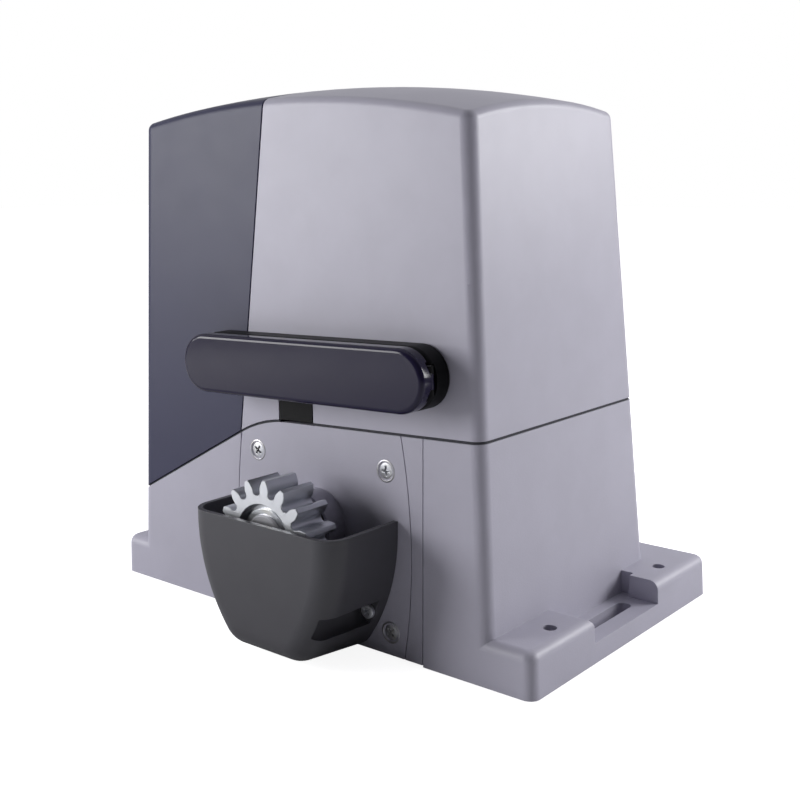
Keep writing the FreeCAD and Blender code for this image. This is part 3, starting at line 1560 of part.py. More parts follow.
def tray_screws():
    """Return the screws that hold the tray's foot to the floor bosses."""
    screws = []
    seat = base_floor + boss_height + 3
    for x, y in boss_places():
        screws.append(joined([along_z(3.4, seat, seat + 2.4, x, y), along_z(1.7, seat - 3, seat + 1, x, y)]))
    return Part.makeCompound(screws)


def control_board():
    """Return the bare control board."""
    z1 = board_bottom + board_height
    board = block(board_left, board_left + board_width, board_y, board_y + board_thickness, board_bottom, z1)
    return board


def board_row(count, x0, pitch, size, z):
    """Return a row of boxes that stand on the board's front face."""
    width, depth, height = size
    boxes = []
    for index in range(count):
        x = x0 + index * pitch
        boxes.append(block(x, x + width, board_y - depth, board_y, z, z + height))
    return boxes


def terminal_blocks():
    """Return the row of plug-in terminals along the board's bottom, with wire entries."""
    size = (terminal_width, terminal_depth, terminal_height)
    z = board_bottom + terminal_rise
    blocks = board_row(terminal_count, board_left + part_inset, terminal_pitch, size, z)
    near, far = board_y - terminal_depth / 2, board_y - terminal_depth * 6 / 7
    finished = []
    for index, body in enumerate(blocks):
        x = board_left + part_inset + index * terminal_pitch
        for share in (7 / 24, 17 / 24):
            left = x + terminal_width * share - terminal_entry / 2
            body = body.cut(block(left, left + terminal_entry, far, near, z - 1, z + terminal_height / 2))
        finished.append(body)
    return Part.makeCompound(finished)


def board_relays():
    """Return the three relays on the board."""
    size = (relay_width, relay_depth, relay_height)
    row = board_row(relay_count, board_left + relay_inset, relay_pitch, size, board_bottom + relay_rise)
    return Part.makeCompound(row)


def board_capacitors():
    """Return the two electrolytic capacitors that stand off the board."""
    cans = []
    for index in range(can_count):
        x = board_left + can_inset + index * can_pitch
        cans.append(along_y(can_radius, board_y - can_length, board_y, x, board_bottom + can_rise))
    return Part.makeCompound(cans)


def board_fuses():
    """Return the board's two fuses, each a tube in a pair of end clips."""
    bodies = []
    for index in range(fuse_count):
        x = board_left + fuse_inset + index * fuse_pitch
        z = board_bottom + fuse_rise
        face = board_y - fuse_clip_height
        clips = []
        for end in (0, fuse_length - fuse_clip_width):
            clips.append(block(x + end, x + end + fuse_clip_width, face, board_y, z - 3, z + 3))
        barrel_axis = face + fuse_radius
        glass = cylinder(fuse_radius, Vector(x, barrel_axis, z), Vector(x + fuse_length, barrel_axis, z))
        bodies.append(joined(clips + [glass]))
    return Part.makeCompound(bodies)


def transformer_core():
    """Return the laminated core: a frame with a centre limb."""
    x0, x1 = transformer_x - transformer_width / 2, transformer_x + transformer_width / 2
    y0, y1 = transformer_y - transformer_depth / 2 + 8, transformer_y + transformer_depth / 2 - 8
    z0, z1 = base_floor, base_floor + transformer_height
    limb = transformer_width / 6
    solid = block(x0, x1, y0, y1, z0, z1)
    cuts = []
    for side in (-1, 1):
        near = transformer_x + side * limb
        far = transformer_x + side * 2 * limb
        low, high = sorted((near, far))
        cuts.append(block(low, high, y0 - 1, y1 + 1, z0 + limb, z1 - limb))
    return solid.cut(cuts)


def transformer_coil():
    """Return the wound coil round the centre limb."""
    limb = transformer_width / 6
    z0, z1 = base_floor + limb + 0.5, base_floor + transformer_height - limb - 0.5
    x = transformer_x
    outer = block(x - 2 * limb + 0.4, x + 2 * limb - 0.4, transformer_y - transformer_depth / 2,
                  transformer_y + transformer_depth / 2, z0, z1)
    half = transformer_depth / 2 - 8
    inner = block(x - limb, x + limb, transformer_y - half, transformer_y + half, z0 - 1, z1 + 1)
    upright = [edge for edge in outer.Edges if abs(edge.tangentAt(edge.FirstParameter).z) > 0.9]
    return outer.makeFillet(4.0, upright).cut(inner)


def run_capacitor():
    """Return the motor's run capacitor, a can standing on the floor."""
    can = along_z(capacitor_radius, base_floor, base_floor + capacitor_height, capacitor_x, capacitor_y)
    top = [edge for edge in can.Edges if len(edge.Vertexes) == 1 and edge.Vertexes[0].Point.z > base_floor + 1]
    can = can.makeFillet(2.0, top)
    tab = base_floor + capacitor_height
    tabs = []
    for side in (-1, 1):
        x = capacitor_x + side * 6
        tabs.append(block(x - 0.5, x + 0.5, capacitor_y - 3, capacitor_y + 3, tab - 1, tab + 8))
    return joined([can] + tabs)


def capacitor_clamp():
    """Return the strap round the capacitor with its foot on the floor."""
    z0 = base_floor + 20.0
    outer, inner = capacitor_radius + 1.5, capacitor_radius
    strap = tube(
        outer, inner, Vector(capacitor_x, capacitor_y, z0), Vector(capacitor_x, capacitor_y, z0 + 12)
    )
    x1 = capacitor_x - capacitor_radius
    leg = block(x1 - 1.5, x1, capacitor_y - 5, capacitor_y + 5, base_floor, z0 + 12)
    foot = block(x1 - 14, x1 - 0.5, capacitor_y - 5, capacitor_y + 5, base_floor, base_floor + 1.5)
    solid = joined([strap, leg, foot])
    return solid.cut(along_z(capacitor_radius, 0, FAR, capacitor_x, capacitor_y))


def limit_sensor():
    """Return the limit sensor behind the stem, on the stem's foot."""
    y0 = front_y + stem_depth
    z0 = gearbox_top + stem_foot_height + 4.0
    x = stem_centre_x
    body = block(x - 9, x + 9, y0, y0 + 14, z0, z0 + 26)
    barrel_part = along_y(5.0, y0 + 13, y0 + 22, x, z0 + 16)
    return joined([body, barrel_part])


def earth_stud():
    """Return the earth stud with its nut on the base floor."""
    x, y = earth_stud_x, earth_stud_y
    nut = Part.Face(hexagon(4.6, Vector(x, y, base_floor))).extrude(Z_AXIS * 4.0)
    return joined([nut, along_z(2.5, base_floor, base_floor + 16, x, y)])


# ---------------------------------------------------------------- all nodes
PIECES = [
    base_casting, cover_gasket, cable_glands, gearbox_housing, gear_plate, plate_screws, gearbox_bolts,
    front_bearing, rear_bearing, shaft_seal, pinion_guard, guard_screws,
    output_shaft, pinion, pinion_key, pinion_circlip, shaft_collar, clutch_springs, clutch_sleeve,
    worm_wheel, worm, motor_shaft, worm_bearings, rotor_bearing,
    motor_can, stator_core, stator_windings, rotor_core, motor_end_bell, motor_tie_bolts,
    encoder_magnet, encoder_board,
    release_seat, seat_screws, lever_pin, release_lever, release_rod, release_crank, crank_pin,
    cover_shell, cover_side_panel, cover_screws, cover_nuts,
    board_tray, tray_screws, control_board, terminal_blocks, board_relays, board_capacitors, board_fuses,
    transformer_core, transformer_coil, run_capacitor, capacitor_clamp, limit_sensor, earth_stud,
]


def main():
    """Model every node and write its STEP file."""
    os.makedirs("parts", exist_ok=True)
    for piece in PIECES:
        piece().exportStep("parts/" + piece.__name__ + ".step")


main()
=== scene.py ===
"""Looks of a sliding gate motor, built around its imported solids.

Every object is in metres, in the frame of the solids: +X along the gate, -Y the front, +Z up.
Sub-assemblies are classes that build their meshes from formulas and dress them in finishes.
"""
import logging
import math
from collections.abc import Iterator, Sequence
from dataclasses import dataclass, field
from enum import Enum
from typing import Any, Union

import bmesh
import bpy
import numpy as np
from mathutils import Euler, Matrix, Vector


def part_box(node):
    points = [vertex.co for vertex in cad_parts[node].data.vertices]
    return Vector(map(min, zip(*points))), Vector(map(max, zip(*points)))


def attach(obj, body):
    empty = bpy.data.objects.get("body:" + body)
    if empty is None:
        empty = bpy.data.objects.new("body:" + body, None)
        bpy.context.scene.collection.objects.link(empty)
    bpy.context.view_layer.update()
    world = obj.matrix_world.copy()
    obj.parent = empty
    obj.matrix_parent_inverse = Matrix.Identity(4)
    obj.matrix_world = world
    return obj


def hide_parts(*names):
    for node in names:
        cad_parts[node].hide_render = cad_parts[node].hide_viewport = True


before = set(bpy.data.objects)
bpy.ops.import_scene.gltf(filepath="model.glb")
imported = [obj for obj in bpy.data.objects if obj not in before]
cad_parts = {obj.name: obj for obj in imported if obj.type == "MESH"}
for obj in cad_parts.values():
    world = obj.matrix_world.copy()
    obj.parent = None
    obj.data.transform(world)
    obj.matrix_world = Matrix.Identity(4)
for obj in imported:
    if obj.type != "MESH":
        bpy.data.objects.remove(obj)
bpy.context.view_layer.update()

LOG = logging.getLogger("gate_motor")
MM = 0.001
Colour = tuple[float, float, float]
Number = Union[float, "Signal"]


# ------------------------------------------------------------------ shader maths
class Signal:
    """One output of a shader node, with Python's arithmetic.

    Args:
        graph: The node graph the value belongs to.
        socket: The output socket that carries it.
    """

    def __init__(self, graph: "Graph", socket: bpy.types.NodeSocket) -> None:
        """Keep the graph and the socket."""
        self.graph = graph
        self.socket = socket

    def _math(self, operation: str, first: Number, second: Number = 0.0) -> "Signal":
        """Add one Math node.

        Args:
            operation: The Math node's operation.
            first: Its first value.
            second: Its second value.

        Returns:
            The result.
        """
        return self.graph.node("ShaderNodeMath", {"operation": operation}, {0: first, 1: second})

    def __add__(self, other: Number) -> "Signal":
        """Return self + other."""
        return self._math("ADD", self, other)

    def __radd__(self, other: Number) -> "Signal":
        """Return other + self."""
        return self._math("ADD", other, self)

    def __sub__(self, other: Number) -> "Signal":
        """Return self - other."""
        return self._math("SUBTRACT", self, other)

    def __rsub__(self, other: Number) -> "Signal":
        """Return other - self."""
        return self._math("SUBTRACT", other, self)

    def __mul__(self, other: Number) -> "Signal":
        """Return self * other."""
        return self._math("MULTIPLY", self, other)

    def __rmul__(self, other: Number) -> "Signal":
        """Return other * self."""
        return self._math("MULTIPLY", other, self)

    def __truediv__(self, other: Number) -> "Signal":
        """Return self / other."""
        return self._math("DIVIDE", self, other)

    def __pow__(self, other: Number) -> "Signal":
        """Return self to a power."""
        return self._math("POWER", self, other)

    def least(self, other: Number) -> "Signal":
        """Return the smaller of two values."""
        return self._math("MINIMUM", self, other)

    def most(self, other: Number) -> "Signal":
        """Return the larger of two values."""
        return self._math("MAXIMUM", self, other)

    def sine(self) -> "Signal":
        """Return the sine of a value in radians."""
        return self._math("SINE", self)

    def fraction(self) -> "Signal":
        """Return the part after the decimal point."""
        return self._math("FRACT", self)

    def size(self) -> "Signal":
        """Return the value without its sign."""
        return self._math("ABSOLUTE", self)

    def step(self, low: float, high: float) -> "Signal":
        """Return 0 below low and 1 above high, with a smooth rise between.

        Args:
            low: Where the rise starts.
            high: Where it ends.

        Returns:
            The eased value.
        """
        settings = {"interpolation_type": "SMOOTHSTEP", "clamp": True}
        ends = {"Value": self, "From Min": low, "From Max": high}
        return self.graph.node("ShaderNodeMapRange", settings, ends)


class Graph:
    """The node graph of one material.

    Args:
        name: The material's name.
    """

    def __init__(self, name: str) -> None:
        """Start a material with an empty graph."""
        self.material = bpy.data.materials.new(name)
        self.material.use_nodes = True
        self.tree = self.material.node_tree
        self.tree.nodes.clear()
        self.place = self.node("ShaderNodeTexCoord", {}, {}, "Object")

    def node(
        self,
        kind: str,
        settings: dict[str, Any],
        inputs: dict[Union[int, str], Any],
        output: Union[int, str] = 0,
    ) -> Signal:
        """Add any node.

        Args:
            kind: The node's type name.
            settings: Its properties; "stops" gives a colour ramp's stops.
            inputs: A value or a Signal for each named or numbered input.
            output: The name or number of the output that is returned.

        Returns:
            That output.
        """
        made = self.tree.nodes.new(kind)
        for key, value in settings.items():
            if key == "stops":
                self._set_stops(made.color_ramp, value)
            else:
                setattr(made, key, value)
        for key, value in inputs.items():
            if isinstance(value, Signal):
                self.tree.links.new(value.socket, made.inputs[key])
            else:
                made.inputs[key].default_value = value
        return Signal(self, made.outputs[output])

    @staticmethod
    def _set_stops(ramp: bpy.types.ColorRamp, stops: Sequence[tuple[float, Colour]]) -> None:
        """Give a colour ramp its stops, each a position and a colour."""
        while len(ramp.elements) < len(stops):
            ramp.elements.new(0.5)
        for element, (position, colour) in zip(ramp.elements, stops):
            element.position = position
            element.color = (*colour, 1.0)

    def noise(
        self, size: float, detail: float = 2.0, stretch: Sequence[float] = (1, 1, 1), seed: float = 0.0
    ) -> Signal:
        """Return a noise of about 0 to 1.

        Args:
            size: The size of its blotches in metres.
            detail: How many finer octaves it has.
            stretch: How often it repeats along each axis.
            seed: A shift that gives another part of the pattern.

        Returns:
            The noise.
        """
        mapping = {"Vector": self.place, "Scale": tuple(stretch), "Location": (seed, seed * 1.7, seed * 0.6)}
        where = self.node("ShaderNodeMapping", {"vector_type": "POINT"}, mapping)
        values = {"Vector": where, "Scale": 1.0 / size, "Detail": detail, "Roughness": 0.55}
        return self.node("ShaderNodeTexNoise", {}, values)

    def cells(self, size: float) -> Signal:
        """Return the distance to the nearest of scattered points, about 0 to 1."""
        return self.node("ShaderNodeTexVoronoi", {}, {"Vector": self.place, "Scale": 1.0 / size})

    def axes(self) -> tuple[Signal, Signal, Signal]:
        """Return the object's own x, y and z."""
        split = self.tree.nodes.new("ShaderNodeSeparateXYZ")
        self.tree.links.new(self.place.socket, split.inputs[0])
        return Signal(self, split.outputs[0]), Signal(self, split.outputs[1]), Signal(self, split.outputs[2])

    def mix(self, factor: Number, first: Any, second: Any) -> Signal:
        """Return a blend of two colours, each a Signal or a triple."""
        first = first if isinstance(first, Signal) else (*first, 1.0)
        second = second if isinstance(second, Signal) else (*second, 1.0)
        return self.node("ShaderNodeMix", {"data_type": "RGBA"}, {0: factor, 6: first, 7: second}, 2)

    def lighten(self, tint: Any, level: Signal) -> Signal:
        """Return a colour, a Signal or a triple, times a level."""
        tint = tint if isinstance(tint, Signal) else (*tint, 1.0)
        return self.node("ShaderNodeHueSaturation", {}, {"Color": tint, "Value": level})

    def edges(self, radius: float) -> tuple[Signal, Signal]:
        """Return the rounded normal and a mask that is 1 on sharp edges."""
        soft = self.node("ShaderNodeBevel", {"samples": 6}, {"Radius": radius})
        hard = self.node("ShaderNodeNewGeometry", {}, {}, "Normal")
        agree = self.node("ShaderNodeVectorMath", {"operation": "DOT_PRODUCT"}, {0: soft, 1: hard}, "Value")
        return soft, (1.0 - agree).step(0.01, 0.16)

    def bump(self, height: Signal, depth: float, normal: Signal) -> Signal:
        """Return a normal pushed about by a height.

        Args:
            height: The height, about 0 to 1.
            depth: What a height of 1 stands for in metres.
            normal: The normal before it.

        Returns:
            The new normal.
        """
        inputs = {"Height": height, "Distance": depth, "Strength": 1.0, "Normal": normal}
        return self.node("ShaderNodeBump", {}, inputs)

    def finish(self, shader: Signal) -> bpy.types.Material:
        """Link a shader to the output and return the material."""
        out = self.tree.nodes.new("ShaderNodeOutputMaterial")
        self.tree.links.new(shader.socket, out.inputs["Surface"])
        return self.material


@dataclass(frozen=True)
class Finish:
    """A surface finish that is even apart from grain, mottling and worn edges.

    Args:
        name: The material's name.
        colour: Its colour, linear.
        roughness: Its mean roughness.
        metallic: 1 for bare metal.
        grain: The size of its finest grain in metres.
        grain_depth: The height of that grain in metres.
        mottle: How much its lightness wanders.
        mottle_size: The size of the patches in metres.
        edge: How far sharp edges lighten.
        edge_radius: The radius that sharp edges seem to have, in metres.
        smudge: How much the roughness wanders.
        coat: The strength of a clear coat.
        specular: The specular level.
    """

    name: str
    colour: Colour
    roughness: float
    metallic: float = 0.0
    grain: float = 0.0006
    grain_depth: float = 0.00001
    mottle: float = 0.022
    mottle_size: float = 0.03
    edge: float = 0.10
    edge_radius: float = 0.0004
    smudge: float = 0.035
    coat: float = 0.0
    specular: float = 0.5

    def relief(self, graph: Graph) -> Signal:
        """Return the height of the grain, 0 to 1."""
        return graph.noise(self.grain, 3.0) * 0.7 + graph.noise(self.grain * 2.7, 1.0, seed=3.1) * 0.3

    def tint(self, graph: Graph) -> Any:
        """Return the colour before mottling."""
        return self.colour

    def build(self) -> bpy.types.Material:
        """Return the finished material."""
        graph = Graph(self.name)
        soft, edge = graph.edges(self.edge_radius)
        patches = graph.noise(self.mottle_size, 3.0, seed=7.3)
        tint = self.tint(graph)
        level = 1.0 + (patches.step(0.3, 0.7) - 0.5) * (2.0 * self.mottle) + edge * self.edge
        colour = graph.lighten(tint, level)
        wear = graph.noise(self.mottle_size * 0.6, 4.0, seed=11.0)
        rough = (self.roughness + (wear - 0.5) * self.smudge * 2.0).most(0.03)
        normal = graph.bump(self.relief(graph), self.grain_depth, soft)
        inputs = {
            "Base Color": colour,
            "Roughness": rough,
            "Metallic": self.metallic,
            "Normal": normal,
            "Coat Weight": self.coat,
            "Coat Roughness": 0.08,
            "Specular IOR Level": self.specular,
        }
        shader = graph.node("ShaderNodeBsdfPrincipled", {}, inputs)
        return graph.finish(shader)


class Direction(Enum):
    """The axis about which a turned or wound part was made."""

    ALONG_X = "x"
    ALONG_Y = "y"
    ALONG_Z = "z"


@dataclass(frozen=True)
class CastPaint(Finish):
    """Textured paint over a casting: a pebbled skin with a little sheen."""

    grain: float = 0.0011
    grain_depth: float = 0.00004

    def relief(self, graph: Graph) -> Signal:
        """Return pebbles about a millimetre across with finer orange peel between them."""
        pebbles = graph.noise(self.grain, 2.0).step(0.25, 0.75)
        peel = graph.noise(self.grain * 0.35, 2.0, seed=2.0)
        return pebbles * 0.7 + peel * 0.3


@dataclass(frozen=True)
class Moulded(Finish):
    """Moulded plastic with an eroded texture."""

    grain: float = 0.0005
    grain_depth: float = 0.000012

    def relief(self, graph: Graph) -> Signal:
        """Return the eroded texture: fine cells broken up by a finer noise."""
        return graph.cells(self.grain) * 0.6 + graph.noise(self.grain * 0.5, 2.0) * 0.4


@dataclass(frozen=True)
class Gloss(Finish):
    """Polished plastic: nearly flat, with long faint scratches and finger marks in its gloss."""

    grain: float = 0.004
    grain_depth: float = 0.000004
    smudge: float = 0.05
    mottle: float = 0.02

    def relief(self, graph: Graph) -> Signal:
        """Return shallow sinks and fine scratches that run along X."""
        scratches = graph.noise(0.0008, 2.0, (0.06, 1.0, 1.0)).step(0.68, 0.75)
        return graph.noise(self.grain * 3.0, 1.0) * 0.8 - scratches * 0.2


@dataclass(frozen=True)
class Turned(Finish):
    """Metal turned on a lathe: fine rings around an axis.

    Args:
        axis: The axis it turned about.
        centre: A point on that axis, in metres.
        feed: The distance between rings in metres.
    """

    metallic: float = 1.0
    axis: Direction = Direction.ALONG_Y
    centre: Colour = (0.017, 0.0, 0.0695)
    feed: float = 0.0005
    grain_depth: float = 0.000012
    edge: float = 0.25

    def relief(self, graph: Graph) -> Signal:
        """Return rings: a sine of the distance from the axis plus the way along it."""
        x, y, z = graph.axes()
        x, y, z = x - self.centre[0], y - self.centre[1], z - self.centre[2]
        pairs = {
            Direction.ALONG_X: (y, z, x),
            Direction.ALONG_Y: (x, z, y),
            Direction.ALONG_Z: (x, y, z),
        }
        first, second, along = pairs[self.axis]
        radius = (first * first + second * second) ** 0.5
        grooves = ((radius + along) * (2 * math.pi / self.feed)).sine() * 0.35
        return grooves + graph.noise(0.0004, 2.0) * 0.3 + 0.35


@dataclass(frozen=True)
class Zinc(Finish):
    """Zinc plating: bright metal whose tint drifts from blue to straw."""

    metallic: float = 1.0
    grain: float = 0.0004
    grain_depth: float = 0.000008
    mottle_size: float = 0.006
    edge: float = 0.25

    def tint(self, graph: Graph) -> Any:
        """Return the plating's colour, bluish with straw patches."""
        drift = graph.noise(0.009, 2.0, seed=5.0).step(0.35, 0.75)
        straw = tuple(channel * factor for channel, factor in zip(self.colour, (1.04, 1.0, 0.90)))
        return graph.mix(drift, self.colour, straw)


@dataclass(frozen=True)
class Wound(Finish):
    """Lacquered wire in layers, or tape over it.

    Args:
        axis: The axis the wire runs around.
        pitch: The distance between turns in metres.
    """

    axis: Direction = Direction.ALONG_Z
    pitch: float = 0.0011
    grain_depth: float = 0.0003
    mottle: float = 0.15
    mottle_size: float = 0.008

    def relief(self, graph: Graph) -> Signal:
        """Return round wires side by side: half a sine over each turn."""
        x, y, z = graph.axes()
        along = {Direction.ALONG_X: x, Direction.ALONG_Y: y, Direction.ALONG_Z: z}[self.axis]
        wander = graph.noise(0.02, 2.0) * 0.0012
        return ((along + wander) * (math.pi / self.pitch)).sine().size()


@dataclass(frozen=True)
class Layered(Finish):
    """A stack of stamped sheets seen at its edges.

    Args:
        axis: The axis the sheets are stacked along.
        sheet: The thickness of a sheet in metres.
    """

    axis: Direction = Direction.ALONG_Z
    sheet: float = 0.0012
    grain_depth: float = 0.00012
    metallic: float = 0.7

    def relief(self, graph: Graph) -> Signal:
        """Return sheets with a narrow dark gap between them."""
        x, y, z = graph.axes()
        along = {Direction.ALONG_X: x, Direction.ALONG_Y: y, Direction.ALONG_Z: z}[self.axis]
        ramp = (along * (1.0 / self.sheet) + 100.0).fraction()
        return (ramp - 0.5).size().step(0.36, 0.49) * -0.8 + graph.noise(0.0006, 2.0) * 0.2 + 0.8


@dataclass(frozen=True)
class Circuit(Finish):
    """A circuit board: solder mask over copper tracks, with pads in rows."""

    grain_depth: float = 0.00006
    roughness: float = 0.3

    def _tracks(self, graph: Graph) -> Signal:
        """Return 1 on the copper tracks, which run in steps across the board."""
        x, y, z = graph.axes()
        blocks = self._blocks(graph)
        across = (x * (1.0 / 0.0021) + blocks * 6.0).fraction()
        upright = (z * (1.0 / 0.0021) + blocks * 9.0).fraction()
        pick = blocks.step(0.48, 0.52)
        line = pick * (across - 0.5).size() + (1.0 - pick) * (upright - 0.5).size()
        return 1.0 - line.step(0.14, 0.2)

    def _blocks(self, graph: Graph) -> Signal:
        """Return one random value for each block of the board, as a level from 0 to 1."""
        values = {"Vector": graph.place, "Scale": 70.0}
        where = graph.node("ShaderNodeTexVoronoi", {"distance": "MANHATTAN"}, values, "Color")
        return graph.node("ShaderNodeSeparateColor", {}, {0: where}, 0)

    def relief(self, graph: Graph) -> Signal:
        """Return tracks that stand proud of the board."""
        return self._tracks(graph) * 0.8 + graph.noise(0.0006, 1.0) * 0.2

    def tint(self, graph: Graph) -> Any:
        """Return the mask's green, lighter over copper."""
        light = tuple(min(channel * 2.2 + 0.02, 1.0) for channel in self.colour)
        return graph.mix(self._tracks(graph), self.colour, light)


PAINT = (0.475, 0.462, 0.552)
COVER = (0.472, 0.459, 0.549)
ZINC = (0.72, 0.75, 0.80)
STEEL = (0.56, 0.56, 0.58)
MOTOR_AXIS = (0.0645, -0.048, 0.0)

FINISHES: dict[str, Finish] = {
    "base_casting": CastPaint("casting_paint", PAINT, 0.44),
    "gearbox_housing": CastPaint("gearbox_paint", (0.465, 0.452, 0.540), 0.46),
    "gear_plate": CastPaint("plate_paint", PAINT, 0.44),
    "motor_end_bell": CastPaint("bell_casting", (0.50, 0.50, 0.51), 0.42, metallic=0.8),
    "cover_shell": Moulded("cover_plastic", COVER, 0.42),
    "cover_side_panel": Moulded("panel_plastic", (0.042, 0.043, 0.090), 0.42, specular=0.32),
    "pinion_guard": Moulded("guard_plastic", (0.070, 0.069, 0.080), 0.42, mottle=0.03, mottle_size=0.018),
    # The seat's near-black colour is partly its real black plastic and partly painted shade: it is set darker
    # than the lever's plastic because the seat sits in shadow, and its low specular level stands in for dark
    # surroundings.
    "release_seat": Moulded("seat_plastic_shade_darkened", (0.003, 0.003, 0.004), 0.50, specular=0.15),
    "release_lever": Gloss("lever_gloss", (0.014, 0.011, 0.036), 0.14, specular=0.30),
    "board_tray": Moulded("tray_plastic", (0.020, 0.020, 0.022), 0.5),
    "cover_gasket": Moulded("gasket_rubber", (0.012, 0.012, 0.013), 0.7),
    "cable_glands": Moulded("gland_rubber", (0.012, 0.012, 0.013), 0.65),
    "shaft_seal": Moulded("seal_rubber", (0.020, 0.014, 0.012), 0.55),
    "plate_screws": Zinc("plate_screw_zinc", (0.56, 0.57, 0.61), 0.36),
    "gearbox_bolts": Zinc("bolt_zinc", ZINC, 0.32),
    "guard_screws": Zinc("guard_screw_zinc", ZINC, 0.28),
    "seat_screws": Zinc("seat_screw_zinc", ZINC, 0.30),
    "tray_screws": Zinc("tray_screw_zinc", ZINC, 0.30),
    "cover_screws": Zinc("cover_screw_zinc", ZINC, 0.30),
    "cover_nuts": Zinc("cover_nut_zinc", ZINC, 0.34),
    "motor_tie_bolts": Zinc("tie_bolt_zinc", ZINC, 0.34),
    "capacitor_clamp": Zinc("clamp_zinc", ZINC, 0.36),
    "pinion": Zinc("pinion_zinc", (0.74, 0.77, 0.82), 0.26),
    "front_bearing": Turned("bearing_front_steel", STEEL, 0.22),
    "rear_bearing": Turned("bearing_rear_steel", STEEL, 0.22),
    "output_shaft": Turned("shaft_steel", (0.52, 0.52, 0.55), 0.46),
    "pinion_key": Zinc("key_steel", STEEL, 0.35),
    "pinion_circlip": Zinc("circlip_zinc", (0.62, 0.64, 0.68), 0.30),
    "shaft_collar": Turned("collar_steel", STEEL, 0.28),
    "clutch_springs": Turned("disc_spring_steel", (0.20, 0.20, 0.23), 0.35),
    "clutch_sleeve": Turned("sleeve_steel", STEEL, 0.30),
    "worm_wheel": Turned("wheel_bronze", (0.55, 0.34, 0.14), 0.32, feed=0.0008),
    "worm": Turned("worm_steel", STEEL, 0.24, axis=Direction.ALONG_Z, centre=MOTOR_AXIS),
    "motor_shaft": Turned("motor_shaft_steel", STEEL, 0.24, axis=Direction.ALONG_Z, centre=MOTOR_AXIS),
    "worm_bearings": Turned("bearing_worm_steel", STEEL, 0.22, axis=Direction.ALONG_Z, centre=MOTOR_AXIS),
    "rotor_bearing": Turned("bearing_rotor_steel", STEEL, 0.22, axis=Direction.ALONG_Z, centre=MOTOR_AXIS),
    "motor_can": Gloss("can_enamel", (0.014, 0.014, 0.016), 0.30),
    "stator_core": Layered("stator_sheets", (0.14, 0.14, 0.15), 0.45),
    "stator_windings": Wound("winding_wire", (0.40, 0.13, 0.045), 0.30),
    "rotor_core": Layered("rotor_sheets", (0.20, 0.20, 0.21), 0.40),
    "encoder_magnet": Moulded("magnet_ferrite", (0.022, 0.022, 0.025), 0.55),
    "encoder_board": Circuit("encoder_mask", (0.010, 0.070, 0.028), 0.3),
    "lever_pin": Zinc("pin_steel", STEEL, 0.28),
    "release_rod": Zinc("rod_steel", STEEL, 0.30),
    "release_crank": Zinc("crank_steel", (0.30, 0.30, 0.33), 0.42),
    "crank_pin": Zinc("crank_pin_steel", STEEL, 0.28),
    "control_board": Circuit("board_mask", (0.010, 0.062, 0.026), 0.3),
    "terminal_blocks": Moulded("terminal_green", (0.025, 0.20, 0.055), 0.38),
    "board_relays": Moulded("relay_blue", (0.020, 0.050, 0.160), 0.32),
    "board_capacitors": Gloss("sleeve_black", (0.016, 0.016, 0.020), 0.25),
    "board_fuses": Gloss("fuse_glass", (0.42, 0.42, 0.40), 0.12),
    "transformer_core": Layered("core_sheets", (0.10, 0.10, 0.11), 0.45, axis=Direction.ALONG_Y),
    "transformer_coil": Wound("coil_tape", (0.50, 0.34, 0.06), 0.40, pitch=0.004, grain_depth=0.0001),
    "run_capacitor": Gloss("capacitor_white", (0.62, 0.62, 0.60), 0.28),
    "limit_sensor": Moulded("sensor_black", (0.018, 0.018, 0.020), 0.45),
    "earth_stud": Zinc("stud_brass", (0.60, 0.42, 0.16), 0.30),
}


def material_of(finish: Finish) -> bpy.types.Material:
    """Return the material of a finish, made once."""
    return bpy.data.materials.get(finish.name) or finish.build()


# ------------------------------------------------------------------ surfaces
@dataclass
class Sheet:
    """A surface given as a grid of points.

    Args:
        points: Points in metres, of shape (rows, columns, 3).
        closed: Whether the last column joins the first.
        looped: Whether the last row joins the first.
    """

    points: np.ndarray
    closed: bool = True
    looped: bool = False

    def faces(self) -> np.ndarray:
        """Return the grid's quads as indices, each cell's corners in turn."""
        rows, columns = self.points.shape[:2]
        row = np.arange(rows if self.looped else rows - 1)
        column = np.arange(columns if self.closed else columns - 1)
        first, second = np.meshgrid(row, column, indexing="ij")
        next_row, next_column = (first + 1) % rows, (second + 1) % columns
        corners = [first * columns + second, first * columns + next_column]
        corners += [next_row * columns + next_column, next_row * columns + second]
        return np.stack(corners, axis=-1).reshape(-1, 4)

    def moved(self, place: Sequence[float], turn: np.ndarray = np.eye(3)) -> "Sheet":
        """Return the sheet turned by a matrix and then moved."""
        return Sheet(self.points @ turn.T + np.asarray(place, float), self.closed, self.looped)


def frame_towards(direction: Sequence[float], spin: float = 0.0) -> np.ndarray:
    """Return a turn that takes +Z to a direction.

    Args:
        direction: Where +Z goes.
        spin: A turn about +Z before it, in degrees.

    Returns:
        A 3 by 3 matrix.
    """
    base = Vector(direction).to_track_quat("Z", "Y").to_matrix()
    return np.array(base @ Matrix.Rotation(math.radians(spin), 3, "Z"))


def lathe(profile: Sequence[tuple[float, float]], segments: int = 64) -> Sheet:
    """Return a profile turned about +Z.

    Args:
        profile: Pairs of radius and height in millimetres.
        segments: How many steps make a full turn.

    Returns:
        The surface: each point of the profile at (r cos t, r sin t, z) for all t.
    """
    pairs = np.asarray(profile, float) * MM
    turn = np.linspace(0.0, 2 * math.pi, segments, endpoint=False)
    radius, height = pairs[:, :1], np.broadcast_to(pairs[:, 1:], (len(pairs), segments))
    return Sheet(np.stack([radius * np.cos(turn), radius * np.sin(turn), height], axis=-1))


